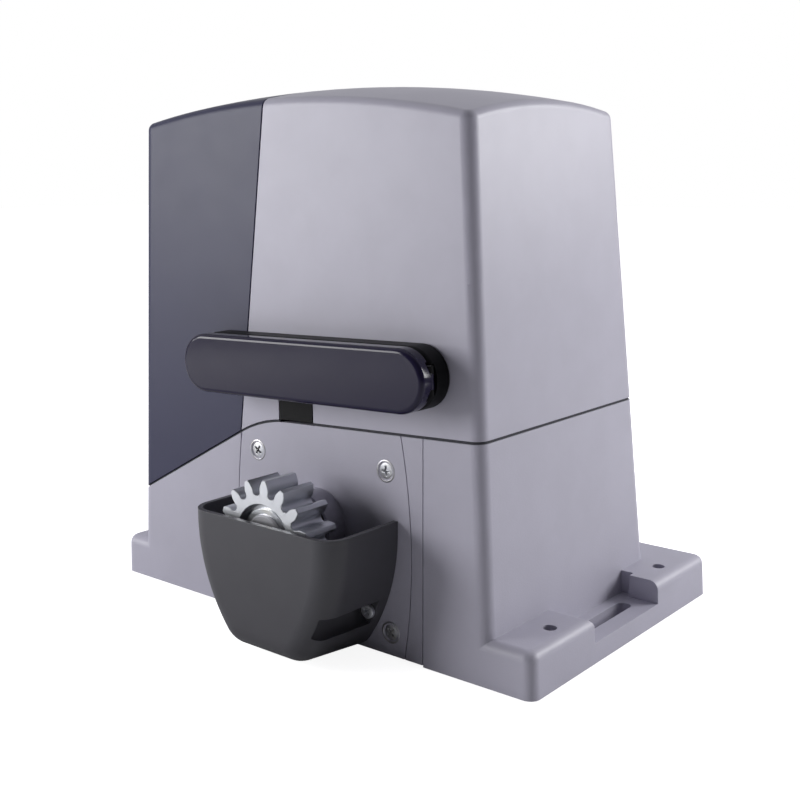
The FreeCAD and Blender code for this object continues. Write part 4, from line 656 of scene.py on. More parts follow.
def rounded_outline(width: float, depth: float, radius: float, steps: int = 6) -> np.ndarray:
    """Return a rounded rectangle about the origin.

    Args:
        width: Its size along X in millimetres.
        depth: Its size along Y in millimetres.
        radius: The radius of its corners in millimetres.
        steps: How many steps make a corner.

    Returns:
        Points of shape (4 * (steps + 1), 2): at each corner's centre, a quarter of a circle.
    """
    quarter = np.linspace(0.0, math.pi / 2, steps + 1)
    corner = np.arange(4)[:, None]
    angle = quarter[None, :] + corner * math.pi / 2
    sign_x, sign_y = np.array([1, -1, -1, 1])[:, None], np.array([1, 1, -1, -1])[:, None]
    x = sign_x * (width / 2 - radius) + radius * np.cos(angle)
    y = sign_y * (depth / 2 - radius) + radius * np.sin(angle)
    return np.stack([x, y], axis=-1).reshape(-1, 2)


def plug(width: float, depth: float, height: float, radius: float, edge: float) -> Sheet:
    """Return a block with round corners that stands on the origin's plane, closed at both ends.

    Args:
        width: Its size along X in millimetres.
        depth: Its size along Y in millimetres.
        height: Its size along Z in millimetres.
        radius: The radius of its upright corners.
        edge: The radius of the edges round its top.

    Returns:
        The surface: the outline carried up, drawn in over the top edge and shrunk to a point at each end.
    """
    over = np.linspace(0.0, math.pi / 2, 5)
    inset = np.concatenate([[radius, 0.0], edge * (1 - np.cos(over)), [radius]])
    level = np.concatenate([[0.0, 0.0], height - edge + edge * np.sin(over), [height]])
    full = rounded_outline(width, depth, radius)
    core = rounded_outline(width - 2 * radius, depth - 2 * radius, 0.0)
    share = (inset / radius)[:, None, None]
    rings = full[None] * (1 - share) + core[None] * share
    middle = np.zeros((1, len(full), 2))
    plane = np.concatenate([middle, rings, middle])
    level = np.concatenate([[0.0], level, [height]])
    up = np.broadcast_to(level[:, None, None], (*plane.shape[:2], 1))
    return Sheet(np.concatenate([plane, up], axis=-1) * MM)


def rod(path: np.ndarray, radius: float, segments: int = 10) -> Sheet:
    """Return a round wire along a path.

    Args:
        path: Points in millimetres, of shape (n, 3).
        radius: The wire's radius in millimetres.
        segments: How many steps go round it.

    Returns:
        The surface: at each point, a circle square to the path's direction there.
    """
    along = np.gradient(path, axis=0)
    along /= np.linalg.norm(along, axis=1, keepdims=True)
    aside = np.cross(along, np.array([0.31, 0.17, 0.93]))
    aside /= np.linalg.norm(aside, axis=1, keepdims=True)
    other = np.cross(along, aside)
    turn = np.linspace(0.0, 2 * math.pi, segments, endpoint=False)[None, :, None]
    rings = path[:, None] + radius * (np.cos(turn) * aside[:, None] + np.sin(turn) * other[:, None])
    return Sheet(rings * MM)


def islands(node: str) -> list[tuple[np.ndarray, np.ndarray]]:
    """Return the lowest and highest corner of each separate solid of a CAD node, in metres."""
    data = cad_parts[node].data
    points = np.empty(len(data.vertices) * 3)
    data.vertices.foreach_get("co", points)
    places, index = np.unique(np.round(points.reshape(-1, 3), 6), axis=0, return_inverse=True)
    ends = np.empty(len(data.edges) * 2, int)
    data.edges.foreach_get("vertices", ends)
    first, second = index.reshape(-1)[ends].reshape(-1, 2).T
    label = np.arange(len(places))
    while True:
        least = np.minimum(label[first], label[second])
        before = label.copy()
        np.minimum.at(label, first, least)
        np.minimum.at(label, second, least)
        label = label[label]
        if np.array_equal(before, label):
            break
    groups = [places[label == value] for value in np.unique(label)]
    boxes = [(group.min(axis=0), group.max(axis=0)) for group in groups]
    return sorted(boxes, key=lambda box: tuple(box[0]))


# ------------------------------------------------------------------ sub-assemblies
@dataclass
class SubAssembly:
    """Pieces that ride on one body.

    Args:
        body: The body they ride on.
    """

    body: str

    def add(
        self,
        name: str,
        sheets: Sequence[Sheet],
        finish: Finish,
        replaces: Sequence[str] = (),
        sharp: float = 40.0,
    ) -> bpy.types.Object:
        """Make one piece of several sheets, dress it and let it ride.

        Args:
            name: The piece's name.
            sheets: Its surfaces.
            finish: What it is made of.
            replaces: The CAD nodes that it stands for.
            sharp: The angle in degrees above which an edge stays sharp.

        Returns:
            The object.
        """
        starts = np.cumsum([0] + [sheet.points.shape[0] * sheet.points.shape[1] for sheet in sheets])
        points = np.concatenate([sheet.points.reshape(-1, 3) for sheet in sheets])
        faces = np.concatenate([sheet.faces() + start for sheet, start in zip(sheets, starts)])
        data = bpy.data.meshes.new(name)
        data.from_pydata(points.tolist(), [], faces.tolist())
        merge_points(data)
        data.polygons.foreach_set("use_smooth", np.ones(len(data.polygons), bool))
        data.set_sharp_from_angle(angle=math.radians(sharp))
        data.materials.append(material_of(finish))
        piece = bpy.data.objects.new(name, data)
        bpy.context.scene.collection.objects.link(piece)
        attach(piece, self.body)
        if replaces:
            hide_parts(*replaces)
        LOG.info("built %s with %d faces", name, len(data.polygons))
        return piece

    def build(self) -> None:
        """Add every piece."""
        raise NotImplementedError


def merge_points(data: bpy.types.Mesh) -> None:
    """Merge points that coincide, drop what that flattens, and turn the faces outward."""
    work = bmesh.new()
    work.from_mesh(data)
    bmesh.ops.remove_doubles(work, verts=work.verts, dist=1e-7)
    bmesh.ops.dissolve_degenerate(work, edges=work.edges, dist=1e-8)
    bmesh.ops.recalc_face_normals(work, faces=work.faces)
    work.to_mesh(data)
    work.free()


@dataclass
class CrossScrews(SubAssembly):
    """Screws with a cross recess, one for each solid of a CAD node.

    Args:
        node: The CAD node that they replace.
        outward: The direction that the heads face.
        finish: Their plating.
        pitch: The thread's pitch in millimetres.
        dome: How far the middle of a head stands above its rim, in millimetres.
        ring: How far a pressed ring round each head reaches past it, in millimetres; 0 for none.
    """

    node: str
    outward: Colour
    finish: Finish
    pitch: float = 0.8
    dome: float = 0.35
    ring: float = 0.0

    def _head(self, radius: float, height: float, shank: float, length: float) -> Sheet:
        """Return one screw along +Z with its head's rim at z = 0.

        Args:
            radius: The head's radius in millimetres.
            height: The head's height.
            shank: The shank's radius.
            length: The screw's whole length.

        Returns:
            The surface: a dome with a cross sunk in it, a round rim, and a shank whose radius falls by a
            pointed wave of height along the axis plus the turn.
        """
        turn = np.linspace(0.0, 2 * math.pi, 96, endpoint=False)
        spread = np.linspace(0.0, 1.0, 34)[:, None] * (radius - 0.25)
        x, y = spread * np.cos(turn), spread * np.sin(turn)
        cross = np.maximum(self._arm(x, y, radius), self._arm(y, x, radius))
        sunk = cross * min(0.75 * height, 2.0)
        crown = self.dome * (1 - (spread / radius) ** 2)
        top = np.stack([x, y, crown - self.dome - sunk + 0 * x], axis=-1)
        side = [(radius, -self.dome - 0.25), (radius, -height + 0.1)]
        side += [(radius - 0.1, -height), (shank, -height)]
        rim = lathe(side, 96)
        along = np.arange(-height, -length + 0.8, -self.pitch / 8)[:, None]
        wave = np.abs(((along / self.pitch - turn / (2 * math.pi)) % 1.0) * 2 - 1)
        thread = shank - 0.35 * self.pitch * wave
        turned = np.stack([thread * np.cos(turn), thread * np.sin(turn), along + 0 * turn], axis=-1)
        tip = lathe([(shank * 0.8, -length + 0.5), (shank * 0.6, -length), (0.0, -length)], 96)
        points = np.concatenate([top * MM, rim.points, turned * MM, tip.points])
        return Sheet(points)

    def build(self) -> None:
        """Put one screw in the place of each solid of the node."""
        sheets, rings = [], []
        outward = np.asarray(self.outward, float)
        axis = int(np.argmax(np.abs(outward)))
        across = [index for index in range(3) if index != axis]
        for number, (low, high) in enumerate(islands(self.node)):
            size = (high - low) / MM
            place = (low + high) / 2
            place[axis] = high[axis] if outward[axis] > 0 else low[axis]
            radius = size[across].min() / 2
            turn = frame_towards(self.outward, 20.0 + 37.0 * number)
            head, shank, length = self._sizes(radius, size[axis])
            sheets.append(self._head(radius, head, shank, length).moved(place, turn))
            if self.ring:
                near, far = radius + 0.45, radius + self.ring
                bead = [(near, -0.5), (near, 0.05), (near + 0.25, 0.3)]
                bead += [(far - 0.5, 0.3), (far, 0.0), (far, -0.5)]
                rings.append(lathe(bead, 64).moved(place, turn))
        self.add(self.node + "_detailed", sheets, self.finish, [self.node])
        if rings:
            self.add(self.node + "_rings", rings, Zinc("ring_zinc", (0.46, 0.46, 0.50), 0.42))

    @staticmethod
    def _arm(along: np.ndarray, across: np.ndarray, radius: float) -> np.ndarray:
        """Return how deep one arm of the cross is, 0 to 1, sloping away at its flanks and ends."""
        width, reach = 0.13 * radius, 0.62 * radius
        flank = np.clip((width - np.abs(across)) / (0.35 * width), 0, 1)
        return flank * np.clip((reach - np.abs(along)) / (0.45 * reach), 0, 1)

    def _sizes(self, radius: float, length: float) -> tuple[float, float, float]:
        """Return the head's height, the shank's radius and the length, from the head's radius."""
        return min(0.62 * radius, 0.45 * length), 0.5 * radius, length


@dataclass
class ToothedPinion(SubAssembly):
    """The rack pinion, with chamfered teeth, a turned recess and a hub.

    Args:
        centre: Its axis' x and z in millimetres.
        module: The tooth size in millimetres.
        teeth: How many teeth it has.
        phase: The angle of its first tooth in degrees.
        bevel: The chamfer on its edges in millimetres.
        width: The length of its teeth in millimetres.
        bore: The radius of its bore in millimetres.
        recess: The radius of the floor of the turned recess in millimetres.
        recess_rim: The radius of the recess at its mouth in millimetres.
        recess_depth: How deep the recess is in millimetres.
        hub: The radius of the hub behind the teeth in millimetres.
        plain: The radius inside which its faces are plain rings, in millimetres.
    """

    centre: tuple[float, float] = (17.0, 69.5)
    module: float = 4.0
    teeth: int = 15
    phase: float = 87.0
    bevel: float = 0.35
    width: float = 24.0
    bore: float = 14.02
    recess: float = 19.3
    recess_rim: float = 20.0
    recess_depth: float = 4.5
    hub: float = 19.0
    plain: float = 24.0

    def _outline(self, inset: float = 0.0) -> np.ndarray:
        """Return the tooth outline about the axis, moved in by an inset.

        Args:
            inset: How far each point is moved in along its normal, in millimetres.

        Returns:
            Points in millimetres of shape (n, 2): involute flanks, round tips, and gullets on one arc each.
        """
        pitch = self.module * self.teeth / 2
        base, tip, root = pitch * math.cos(math.radians(20)), pitch + self.module, pitch - 1.25 * self.module
        roll = math.tan(math.radians(20)) - math.radians(20)
        half = math.pi / 2 / self.teeth + roll
        radius = np.linspace(base, tip, 14)
        swing = np.sqrt((radius / base) ** 2 - 1)
        offset = half - (swing - np.arctan(swing))
        crest = np.linspace(-offset[-1], offset[-1], 9)[1:-1]
        step = 2 * math.pi / self.teeth
        # Circle through both flank feet and the gullet's lowest point, as points on a chord's arc.
        foot = np.array([base * math.cos(step / 2 - half), base * math.sin(step / 2 - half)])
        reach = (foot[0] ** 2 + foot[1] ** 2 - root ** 2) / (2 * (foot[0] - root))
        arc = np.linspace(1, -1, 15)[1:-1] * math.atan2(foot[1], reach - foot[0])
        bend = reach - root
        gullet = np.stack([reach - bend * np.cos(arc), -bend * np.sin(arc)], axis=-1)
        gullet_radius = np.hypot(*gullet.T)
        gullet_angle = np.arctan2(gullet[:, 1], gullet[:, 0]) + step / 2
        radii = np.concatenate([radius, np.full(len(crest), tip), radius[::-1], gullet_radius])
        angles = np.concatenate([-offset, crest, offset[::-1], gullet_angle])
        turn = math.radians(self.phase) + step * np.arange(self.teeth)[:, None] + angles[None]
        points = np.stack([radii * np.cos(turn), radii * np.sin(turn)], axis=-1).reshape(-1, 2)
        tangent = np.roll(points, -1, axis=0) - np.roll(points, 1, axis=0)
        tangent /= np.linalg.norm(tangent, axis=1, keepdims=True)
        return points + inset * np.stack([-tangent[:, 1], tangent[:, 0]], axis=-1)

    def build(self) -> None:
        """Add the pinion: circles and tooth outlines joined ring by ring."""
        low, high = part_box("pinion")
        front, hub_rear = low.y / MM, high.y / MM
        rear = front + self.width
        full, drawn = self._outline(), self._outline(self.bevel)
        angle = np.arctan2(full[:, 1], full[:, 0])
        unit = np.stack([np.cos(angle), np.sin(angle)], axis=-1)
        web = front + self.recess_depth
        recess = [(self.bore, web + 0.4), (14.4, web), (self.recess, web), (self.recess_rim, web - 0.7)]
        recess += [(self.recess_rim, front + 0.5), (20.5, front), (self.plain, front)]
        back = [(self.plain, rear), (self.hub, rear), (self.hub, hub_rear - 0.6), (18.4, hub_rear)]
        back += [(14.6, hub_rear), (self.bore, hub_rear - 0.6)]
        rings = [(radius * unit, level) for radius, level in recess]
        rings += [(drawn, front), (full, front + self.bevel), (full, (front + rear) / 2)]
        rings += [(full, rear - self.bevel), (drawn, rear)]
        rings += [(radius * unit, level) for radius, level in back]
        x = np.array([ring[:, 0] for ring, _ in rings]) + self.centre[0]
        z = np.array([ring[:, 1] for ring, _ in rings]) + self.centre[1]
        y = np.array([np.full(len(full), level) for _, level in rings])
        sheet = Sheet(np.stack([x, y, z], axis=-1) * MM, closed=True, looped=True)
        self.add("pinion_teeth", [sheet], FINISHES["pinion"], ["pinion"], 25.0)


CHIP_LEG = [(0.0, 1.2), (0.5, 1.2), (0.8, 0.9), (1.0, 0.3), (1.3, 0.1), (1.8, 0.1)]


@dataclass
class ControlBoard(SubAssembly):
    """The parts soldered to the front face of the control board.

    Attributes:
        low: The board's lowest corner in millimetres, measured from its solid.
        high: Its highest corner in millimetres.
    """

    low: np.ndarray = field(init=False)
    high: np.ndarray = field(init=False)

    def __post_init__(self) -> None:
        """Measure the board."""
        low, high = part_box("control_board")
        self.low, self.high = np.array(low) / MM, np.array(high) / MM

    def _place(self, x: float, z: float) -> np.ndarray:
        """Return a point on the board's front face, in metres, from its lower left corner."""
        return np.array([self.low[0] + x, self.low[1], self.low[2] + z]) * MM

    def _standing(self, sheet: Sheet, x: float, z: float, spin: float = 0.0) -> Sheet:
        """Return a sheet that stands on the board's front face."""
        return sheet.moved(self._place(x, z), frame_towards((0.0, -1.0, 0.0), spin))

    def build(self) -> None:
        """Add every row of parts."""
        self._chips()
        self._cans()
        self._small_parts()
        self._terminals()
        self._relays()
        self._fuses()

    def _chips(self) -> None:
        """Add the integrated circuits: moulded bodies with bent legs along two sides."""
        bodies, legs = [], []
        for x, z, width, depth in ((62.0, 86.0, 14.0, 14.0), (60.0, 60.0, 7.6, 10.3), (74.0, 60.0, 5.0, 6.2)):
            bodies.append(self._standing(plug(width, depth, 2.2, 0.4, 0.25), x, z))
            count = int(depth / 1.27)
            for side in (-1, 1):
                for index in range(count):
                    along = (index - (count - 1) / 2) * 1.27
                    leg = np.array(CHIP_LEG)
                    path = np.stack([side * (width / 2 + leg[:, 0]), np.full(6, along), leg[:, 1]], axis=-1)
                    legs.append(self._standing(rod(path, 0.22, 6), x, z))
        self.add("board_chips", bodies, Moulded("chip_black", (0.012, 0.012, 0.013), 0.42, grain=0.0002))
        self.add("board_chip_legs", legs, Zinc("leg_tin", (0.62, 0.62, 0.62), 0.35))

    def _cans(self) -> None:
        """Add the electrolytic capacitors: sleeved cans with a crimp and a vented top."""
        sleeves, tops = [], []
        for low, high in islands("board_capacitors"):
            size = (high - low) / MM
            radius, height = min(size[0], size[2]) / 2, size[1]
            place = (low + high) / 2
            place[1] = high[1]
            turn = frame_towards((0.0, -1.0, 0.0))
            crimp = [(0, 0), (radius - 0.6, 0), (radius, 0.8), (radius, 2.6)]
            crimp += [(radius - 0.9, 3.3), (radius, 4.0)]
            shell = crimp + [(radius, height - 1.0), (radius - 0.4, height - 0.3)]
            shell += [(radius - 1.0, height - 0.1), (radius - 1.4, height - 0.3)]
            sleeves.append(lathe(shell).moved(place, turn))
            spread = np.linspace(0, 1, 20)[:, None] * (radius - 1.2)
            angle = np.linspace(0, 2 * math.pi, 64, endpoint=False)
            x, y = spread * np.cos(angle), spread * np.sin(angle)
            vent = np.clip(1 - np.minimum(np.abs(x), np.abs(y)) / 0.35, 0, 1) * 0.35
            top = Sheet(np.stack([x, y, height - 0.1 - vent], axis=-1) * MM)
            tops.append(top.moved(place, turn))
        self.add("board_capacitor_sleeves", sleeves, FINISHES["board_capacitors"], ["board_capacitors"])
        self.add("board_capacitor_tops", tops, Turned("can_aluminium", (0.62, 0.62, 0.63), 0.30))

    def _small_parts(self) -> None:
        """Add resistors with wire ends, lamps and a row of switches."""
        bodies, wires, lamps, switches, levers = [], [], [], [], []
        profile = [(0, -3.2), (0.8, -3.2), (1.2, -2.8), (1.2, -2.0), (0.95, -1.4)]
        profile += [(0.95, 1.4), (1.2, 2.0), (1.2, 2.8), (0.8, 3.2), (0, 3.2)]
        for index in range(8):
            x, z = 8.0 + index * 5.4, 22.5
            centre = self._place(x, z) + np.array([0.0, -1.3, 0.0]) * MM
            bodies.append(lathe(profile, 24).moved(centre, frame_towards((0.0, 0.0, 1.0))))
            reach = [(0, 0, -5.0), (0, -1.2, -5.0), (0, -1.4, -4.4)]
            reach += [(0, -1.4, 4.4), (0, -1.2, 5.0), (0, 0, 5.0)]
            wires.append(rod(np.array(reach) + np.array([0, 0.1, 0]), 0.28, 8).moved(self._place(x, z)))
        bulb = [(0, 0), (1.7, 0), (1.7, 0.7), (1.5, 0.8), (1.5, 3.0), (1.3, 3.8), (0.8, 4.3), (0, 4.5)]
        for index in range(5):
            lamps.append(self._standing(lathe(bulb, 32), 44.0 + index * 6.5, 111.0))
        switches.append(self._standing(plug(20.0, 7.0, 5.0, 0.5, 0.3), 62.0, 104.0))
        for index in range(7):
            thrown = 1 if index % 3 else -1
            lever = plug(1.3, 2.0, 5.9, 0.2, 0.15)
            levers.append(self._standing(lever, 54.4 + index * 2.54, 104.0 + thrown))
        self.add("board_resistors", bodies, Gloss("resistor_lacquer", (0.20, 0.36, 0.48), 0.35))
        self.add("board_resistor_wires", wires, Zinc("wire_tin", (0.62, 0.62, 0.62), 0.30))
        self.add("board_lamps", lamps, Gloss("lamp_epoxy", (0.55, 0.05, 0.03), 0.12))
        self.add("board_switches", switches, Moulded("switch_blue", (0.02, 0.07, 0.26), 0.40))
        self.add("board_switch_levers", levers, Moulded("switch_white", (0.66, 0.66, 0.64), 0.42))

    def _terminals(self) -> None:
        """Add the clamp screws and rims of the plug-in terminals, on their upper faces."""
        screws = []
        for low, high in islands("terminal_blocks"):
            for share in (0.29, 0.71):
                x, z = low[0] + (high[0] - low[0]) * share, low[2] + (high[2] - low[2]) * 0.68
                place = np.array([x, low[1], z])
                cup = [(0, 0.05), (1.5, 0.05), (1.6, 0.35), (1.9, 0.35), (2.0, 0.05), (2.0, -0.4)]
                screws.append(lathe(cup, 32).moved(place, frame_towards((0.0, -1.0, 0.0))))
        self.add("terminal_screws", screws, Zinc("terminal_screw_zinc", ZINC, 0.30))

    def _relays(self) -> None:
        """Replace the relays by round-edged cases, each with a raised rib on its face."""
        cases = []
        for low, high in islands("board_relays"):
            size = (high - low) / MM
            place = (low + high) / 2
            place[1] = high[1]
            turn = frame_towards((0.0, -1.0, 0.0))
            cases.append(plug(size[0], size[2], size[1] - 0.3, 1.0, 0.8).moved(place, turn))
            cases.append(plug(size[0] * 0.72, size[2] * 0.68, size[1], 1.0, 0.25).moved(place, turn))
        self.add("relay_cases", cases, FINISHES["board_relays"], ["board_relays"])

    def _fuses(self) -> None:
        """Replace the fuses by glass tubes with metal caps in sprung clips."""
        tubes, metal = [], []
        for low, high in islands("board_fuses"):
            size = (high - low) / MM
            length, radius = size[0], 2.5
            centre = (low + high) / 2
            centre[1] = low[1] + radius * MM
            turn = frame_towards((1.0, 0.0, 0.0))
            end = length / 2
            tube = [(0, -end + 1), (2.2, -end + 1), (2.2, end - 1), (0, end - 1)]
            tubes.append(lathe(tube, 32).moved(centre, turn))
            for side in (-1, 1):
                cap = [(0, end), (2.2, end), (2.5, end - 0.3), (2.5, end - 5.0), (2.2, end - 5.2)]
                cap = [(r, side * z) for r, z in cap]
                metal.append(lathe(cap, 32).moved(centre, turn))
                sweep = np.linspace(-2.4, 2.4, 16)
                across, out = 2.75 * np.sin(sweep), 2.75 * np.cos(sweep)
                ends = (side * (end - 3.6), side * (end - 0.8))
                clip = np.stack([np.stack([np.full(16, x), out, across], axis=-1) for x in ends])
                metal.append(Sheet(clip * MM, closed=False).moved(centre))
        self.add("fuse_glass", tubes, FINISHES["board_fuses"], ["board_fuses"])
        self.add("fuse_metal", metal, Zinc("fuse_cap_nickel", (0.66, 0.64, 0.58), 0.28))


@dataclass
class PowerParts(SubAssembly):
    """The transformer's frame bolts and terminals, and the run capacitor's crimped can."""

    def build(self) -> None:
        """Add every piece."""
        self._coil()
        self._capacitor()

    def _coil(self) -> None:
        """Add the coil's bobbin flanges and solder tags, and the frame's four rivets."""
        low, high = (np.array(corner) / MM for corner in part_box("transformer_core"))
        coil_low, coil_high = (np.array(corner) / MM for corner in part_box("transformer_coil"))
        rivets, tags, flanges = [], [], []
        for x in (low[0] + 4.3, high[0] - 4.3):
            for z in (low[2] + 4.3, high[2] - 4.3):
                head = [(0, 1.5), (1.2, 1.4), (2.2, 0.9), (2.7, 0.0), (2.7, -0.4)]
                place = np.array([x, low[1], z]) * MM
                rivets.append(lathe(head, 40).moved(place, frame_towards((0.0, -1.0, 0.0))))
        middle = (coil_low + coil_high) / 2
        for index in range(6):
            x = middle[0] + (index - 2.5) * 5.0
            tag = plug(1.6, 0.5, 5.0, 0.2, 0.1)
            tags.append(tag.moved(np.array([x, coil_low[1] + 3.0, coil_high[2] - 0.2]) * MM))
        for z in (coil_low[2], coil_high[2] - 1.2):
            size = coil_high - coil_low
            flange = plug(size[0], 7.0, 1.2, 1.2, 0.3)
            flanges.append(flange.moved(np.array([middle[0], coil_low[1] + 3.5, z]) * MM))
        self.add("transformer_rivets", rivets, Zinc("rivet_zinc", ZINC, 0.34))
        self.add("transformer_tags", tags, Zinc("tag_tin", (0.62, 0.62, 0.62), 0.32))
        self.add("transformer_flanges", flanges, Moulded("bobbin_black", (0.02, 0.02, 0.02), 0.45))

    def _capacitor(self) -> None:
        """Replace the run capacitor: a can with a beaded rim, a sunk lid and blade terminals."""
        low, high = (np.array(corner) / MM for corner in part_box("run_capacitor"))
        radius = (high[0] - low[0]) / 2
        height = high[2] - low[2] - 8.0
        place = np.array([(low[0] + high[0]) / 2, (low[1] + high[1]) / 2, low[2]]) * MM
        bead = np.linspace(-math.pi / 2, math.pi, 12)
        rim = [(radius - 1.2 + 1.2 * math.cos(a), height - 1.2 + 1.2 * math.sin(a)) for a in bead]
        wall = [(0, 0), (radius - 1.5, 0), (radius - 0.4, 0.5), (radius, 1.6), (radius, 6.0)]
        wall += [(radius, height - 6.0), (radius - 0.7, height - 4.6), (radius - 0.7, height - 3.4)]
        lid = [(radius - 2.6, height - 2.4), (radius - 4.0, height - 2.4), (radius - 4.4, height - 1.4)]
        lid += [(4.0, height - 1.2), (3.4, height - 0.6), (0, height - 0.6)]
        can = lathe(wall + rim + lid, 96).moved(place)
        self.add("capacitor_can", [can], FINISHES["run_capacitor"], ["run_capacitor"])
        blades = []
        for side in (-1, 1):
            for step in (-2.0, 2.0):
                blade = plug(0.8, 3.0, 9.2, 0.2, 0.2)
                blades.append(blade.moved(place + np.array([side * 6.0, step, height - 1.4]) * MM))
        self.add("capacitor_blades", blades, Zinc("blade_tin", (0.62, 0.62, 0.62), 0.30))


@dataclass
class BellRibs(SubAssembly):
    """Cooling ribs on the motor's end bell."""

    def build(self) -> None:
        """Add the ribs: bars that run out from the bell's middle, round at both ends."""
        low, high = (np.array(corner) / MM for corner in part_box("motor_end_bell"))
        centre = (low + high) / 2
        radius = (high[0] - low[0]) / 2
        ribs = []
        for index in range(16):
            angle = 2 * math.pi * (index + 0.5) / 16
            rib = plug(radius * 0.34, 2.2, 1.6, 1.0, 0.7)
            place = centre + np.array([math.cos(angle), math.sin(angle), 0.0]) * radius * 0.66
            place[2] = high[2] - 0.3
            spin = np.array(Matrix.Rotation(angle, 3, "Z"))
            ribs.append(rib.moved(place * MM, spin))
        self.add("bell_ribs", ribs, FINISHES["motor_end_bell"])


# ------------------------------------------------------------------ studio
@dataclass
class Lamp:
    """A soft lamp that looks at the object.

    Args:
        name: The lamp's name.
        place: Where it stands, in metres.
        size: The side of its square face in metres.
        power: Its power in watts.
    """

    name: str
    place: Colour
    size: float
    power: float

    def build(self, target: Vector) -> None:
        """Add the lamp, turned towards a point."""
        data = bpy.data.lights.new(self.name, "AREA")
        data.shape = "SQUARE"
        data.size = self.size
        data.energy = self.power
        lamp = bpy.data.objects.new(self.name, data)
        lamp.location = self.place
        lamp.rotation_euler = (target - Vector(self.place)).to_track_quat("-Z", "Y").to_euler()
        bpy.context.scene.collection.objects.link(lamp)


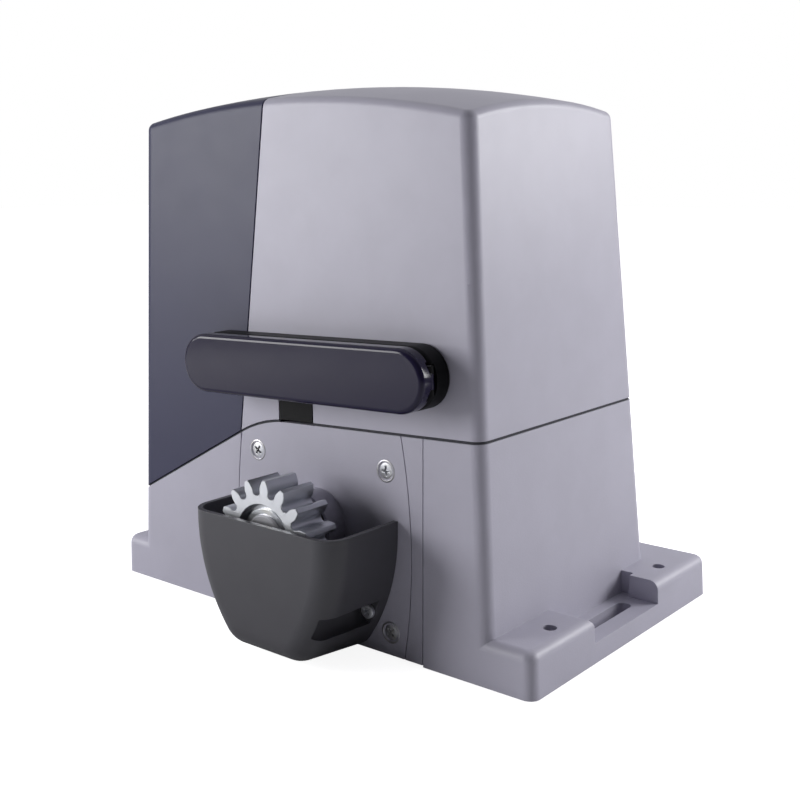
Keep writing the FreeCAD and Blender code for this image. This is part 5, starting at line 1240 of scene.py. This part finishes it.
@dataclass
class Studio:
    """The floor, the lamps, the world and the camera.

    Args:
        camera_place: Where the camera stands, in metres.
        yaw: How far it is turned from looking along +Y, in degrees.
        pitch: How far it looks down, in degrees.
        roll: Its roll in degrees.
        lens: Its focal length in millimetres on a 36 mm sensor.
        ambient: The strength of the light from all around.
        glow: The strength of the white sweep behind the object.
        glow_height: How high the sweep is centred, in degrees.
        lamps: The soft lamps.
    """

    camera_place: Colour = (0.4591, -0.5751, 0.2670)
    yaw: float = 39.03
    pitch: float = 11.06
    roll: float = -0.12
    lens: float = 51.9
    ambient: float = 0.05
    glow: float = 0.6
    glow_height: float = 40.0
    lamps: list[Lamp] = field(
        default_factory=lambda: [
            Lamp("lamp_right", (0.90, 0.90, 0.58), 0.6, 12.0),
            Lamp("lamp_left", (-0.85, -0.95, 0.42), 0.6, 10.0),
        ]
    )

    def build(self) -> None:
        """Add everything around the object."""
        self._camera()
        self._world()
        self._floor()
        for lamp in self.lamps:
            lamp.build(Vector((0.0, 0.0, 0.15)))
        bpy.context.scene.view_settings.view_transform = "Standard"

    def _camera(self) -> None:
        """Add the camera."""
        data = bpy.data.cameras.new("camera")
        data.sensor_width = 36.0
        data.lens = self.lens
        data.clip_start = 0.01
        camera = bpy.data.objects.new("camera", data)
        camera.location = self.camera_place
        turn = Euler((math.radians(90.0 - self.pitch), 0.0, math.radians(self.yaw)), "XYZ").to_quaternion()
        camera.rotation_euler = (turn @ Euler((0.0, 0.0, math.radians(self.roll))).to_quaternion()).to_euler()
        bpy.context.scene.collection.objects.link(camera)
        bpy.context.scene.camera = camera

    @staticmethod
    def _seen(tree: bpy.types.NodeTree) -> bpy.types.NodeSocket:
        """Return 1 for a ray from the eye, and 0 for one that lights or mirrors."""
        return tree.nodes.new("ShaderNodeLightPath").outputs["Is Camera Ray"]

    def _world(self) -> None:
        """Light the scene evenly, with a white background."""
        world = bpy.data.worlds.new("studio")
        world.use_nodes = True
        tree = world.node_tree
        tree.nodes.clear()
        light = tree.nodes.new("ShaderNodeBackground")
        light.inputs["Color"].default_value = (0.97, 0.97, 1.0, 1.0)
        tree.links.new(self._sweep(tree), light.inputs["Strength"])
        white = tree.nodes.new("ShaderNodeBackground")
        white.inputs["Color"].default_value = (1.0, 1.0, 1.0, 1.0)
        mix = tree.nodes.new("ShaderNodeMixShader")
        out = tree.nodes.new("ShaderNodeOutputWorld")
        tree.links.new(self._seen(tree), mix.inputs[0])
        tree.links.new(light.outputs[0], mix.inputs[1])
        tree.links.new(white.outputs[0], mix.inputs[2])
        tree.links.new(mix.outputs[0], out.inputs["Surface"])
        bpy.context.scene.world = world

    def _sweep(self, tree: bpy.types.NodeTree) -> bpy.types.NodeSocket:
        """Return the light from each direction: even, and brighter from behind the object."""
        where = tree.nodes.new("ShaderNodeTexCoord")
        facing = tree.nodes.new("ShaderNodeVectorMath")
        facing.operation = "DOT_PRODUCT"
        turn = math.radians(self.yaw)
        rise_angle = math.radians(self.glow_height)
        level = math.cos(rise_angle)
        behind = (-math.sin(turn) * level, math.cos(turn) * level, math.sin(rise_angle))
        facing.inputs[1].default_value = behind
        tree.links.new(where.outputs["Generated"], facing.inputs[0])
        rise = tree.nodes.new("ShaderNodeMapRange")
        rise.interpolation_type = "SMOOTHSTEP"
        ends = {"From Min": 0.1, "From Max": 0.8, "To Min": self.ambient, "To Max": self.ambient + self.glow}
        for name, value in ends.items():
            rise.inputs[name].default_value = value
        tree.links.new(facing.outputs["Value"], rise.inputs["Value"])
        return rise.outputs["Result"]

    def _floor(self) -> None:
        """Add the pale floor."""
        corners = np.array([(-8, -8, 0), (8, -8, 0), (8, 8, 0), (-8, 8, 0)], float) - (0, 0, 0.0004)
        data = bpy.data.meshes.new("floor")
        data.from_pydata(corners.tolist(), [], [(0, 1, 2, 3)])
        floor = bpy.data.objects.new("floor", data)
        bpy.context.scene.collection.objects.link(floor)
        material = bpy.data.materials.new("floor_white")
        material.use_nodes = True
        tree = material.node_tree
        shader = tree.nodes["Principled BSDF"]
        shader.inputs["Base Color"].default_value = (0.80, 0.80, 0.81, 1.0)
        shader.inputs["Roughness"].default_value = 0.9
        shader.inputs["Specular IOR Level"].default_value = 0.0
        shader.inputs["Emission Color"].default_value = (1.0, 1.0, 1.0, 1.0)
        lift = tree.nodes.new("ShaderNodeMath")
        lift.operation = "MULTIPLY"
        lift.inputs[1].default_value = 0.9
        tree.links.new(self._seen(tree), lift.inputs[0])
        tree.links.new(lift.outputs[0], shader.inputs["Emission Strength"])
        data.materials.append(material)


def dress_nodes() -> None:
    """Give every CAD node its finish."""
    for node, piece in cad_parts.items():
        material = material_of(FINISHES[node])
        piece.data.materials.clear()
        piece.data.materials.append(material)
        LOG.info("dressed %s in %s", node, material.name)


FRONT, BACK, UP = (0.0, -1.0, 0.0), (0.0, 1.0, 0.0), (0.0, 0.0, 1.0)


def assemblies() -> Iterator[SubAssembly]:
    """Yield the sub-assemblies in the order in which they are built."""
    yield CrossScrews("base_body", "plate_screws", FRONT, FINISHES["plate_screws"], ring=1.7)
    yield CrossScrews("base_body", "guard_screws", FRONT, FINISHES["guard_screws"], 0.7)
    yield CrossScrews("base_body", "tray_screws", UP, FINISHES["tray_screws"], 0.6)
    yield CrossScrews("cover_body", "cover_screws", BACK, FINISHES["cover_screws"], 0.7)
    yield ToothedPinion("output_body")
    yield ControlBoard("base_body")
    yield PowerParts("base_body")
    yield BellRibs("base_body")


def main() -> None:
    """Dress the solids, add the pieces and set the scene."""
    logging.basicConfig(level=logging.INFO, format="%(message)s")
    dress_nodes()
    for assembly in assemblies():
        assembly.build()
    Studio().build()


if __name__ == "__main__":
    main()
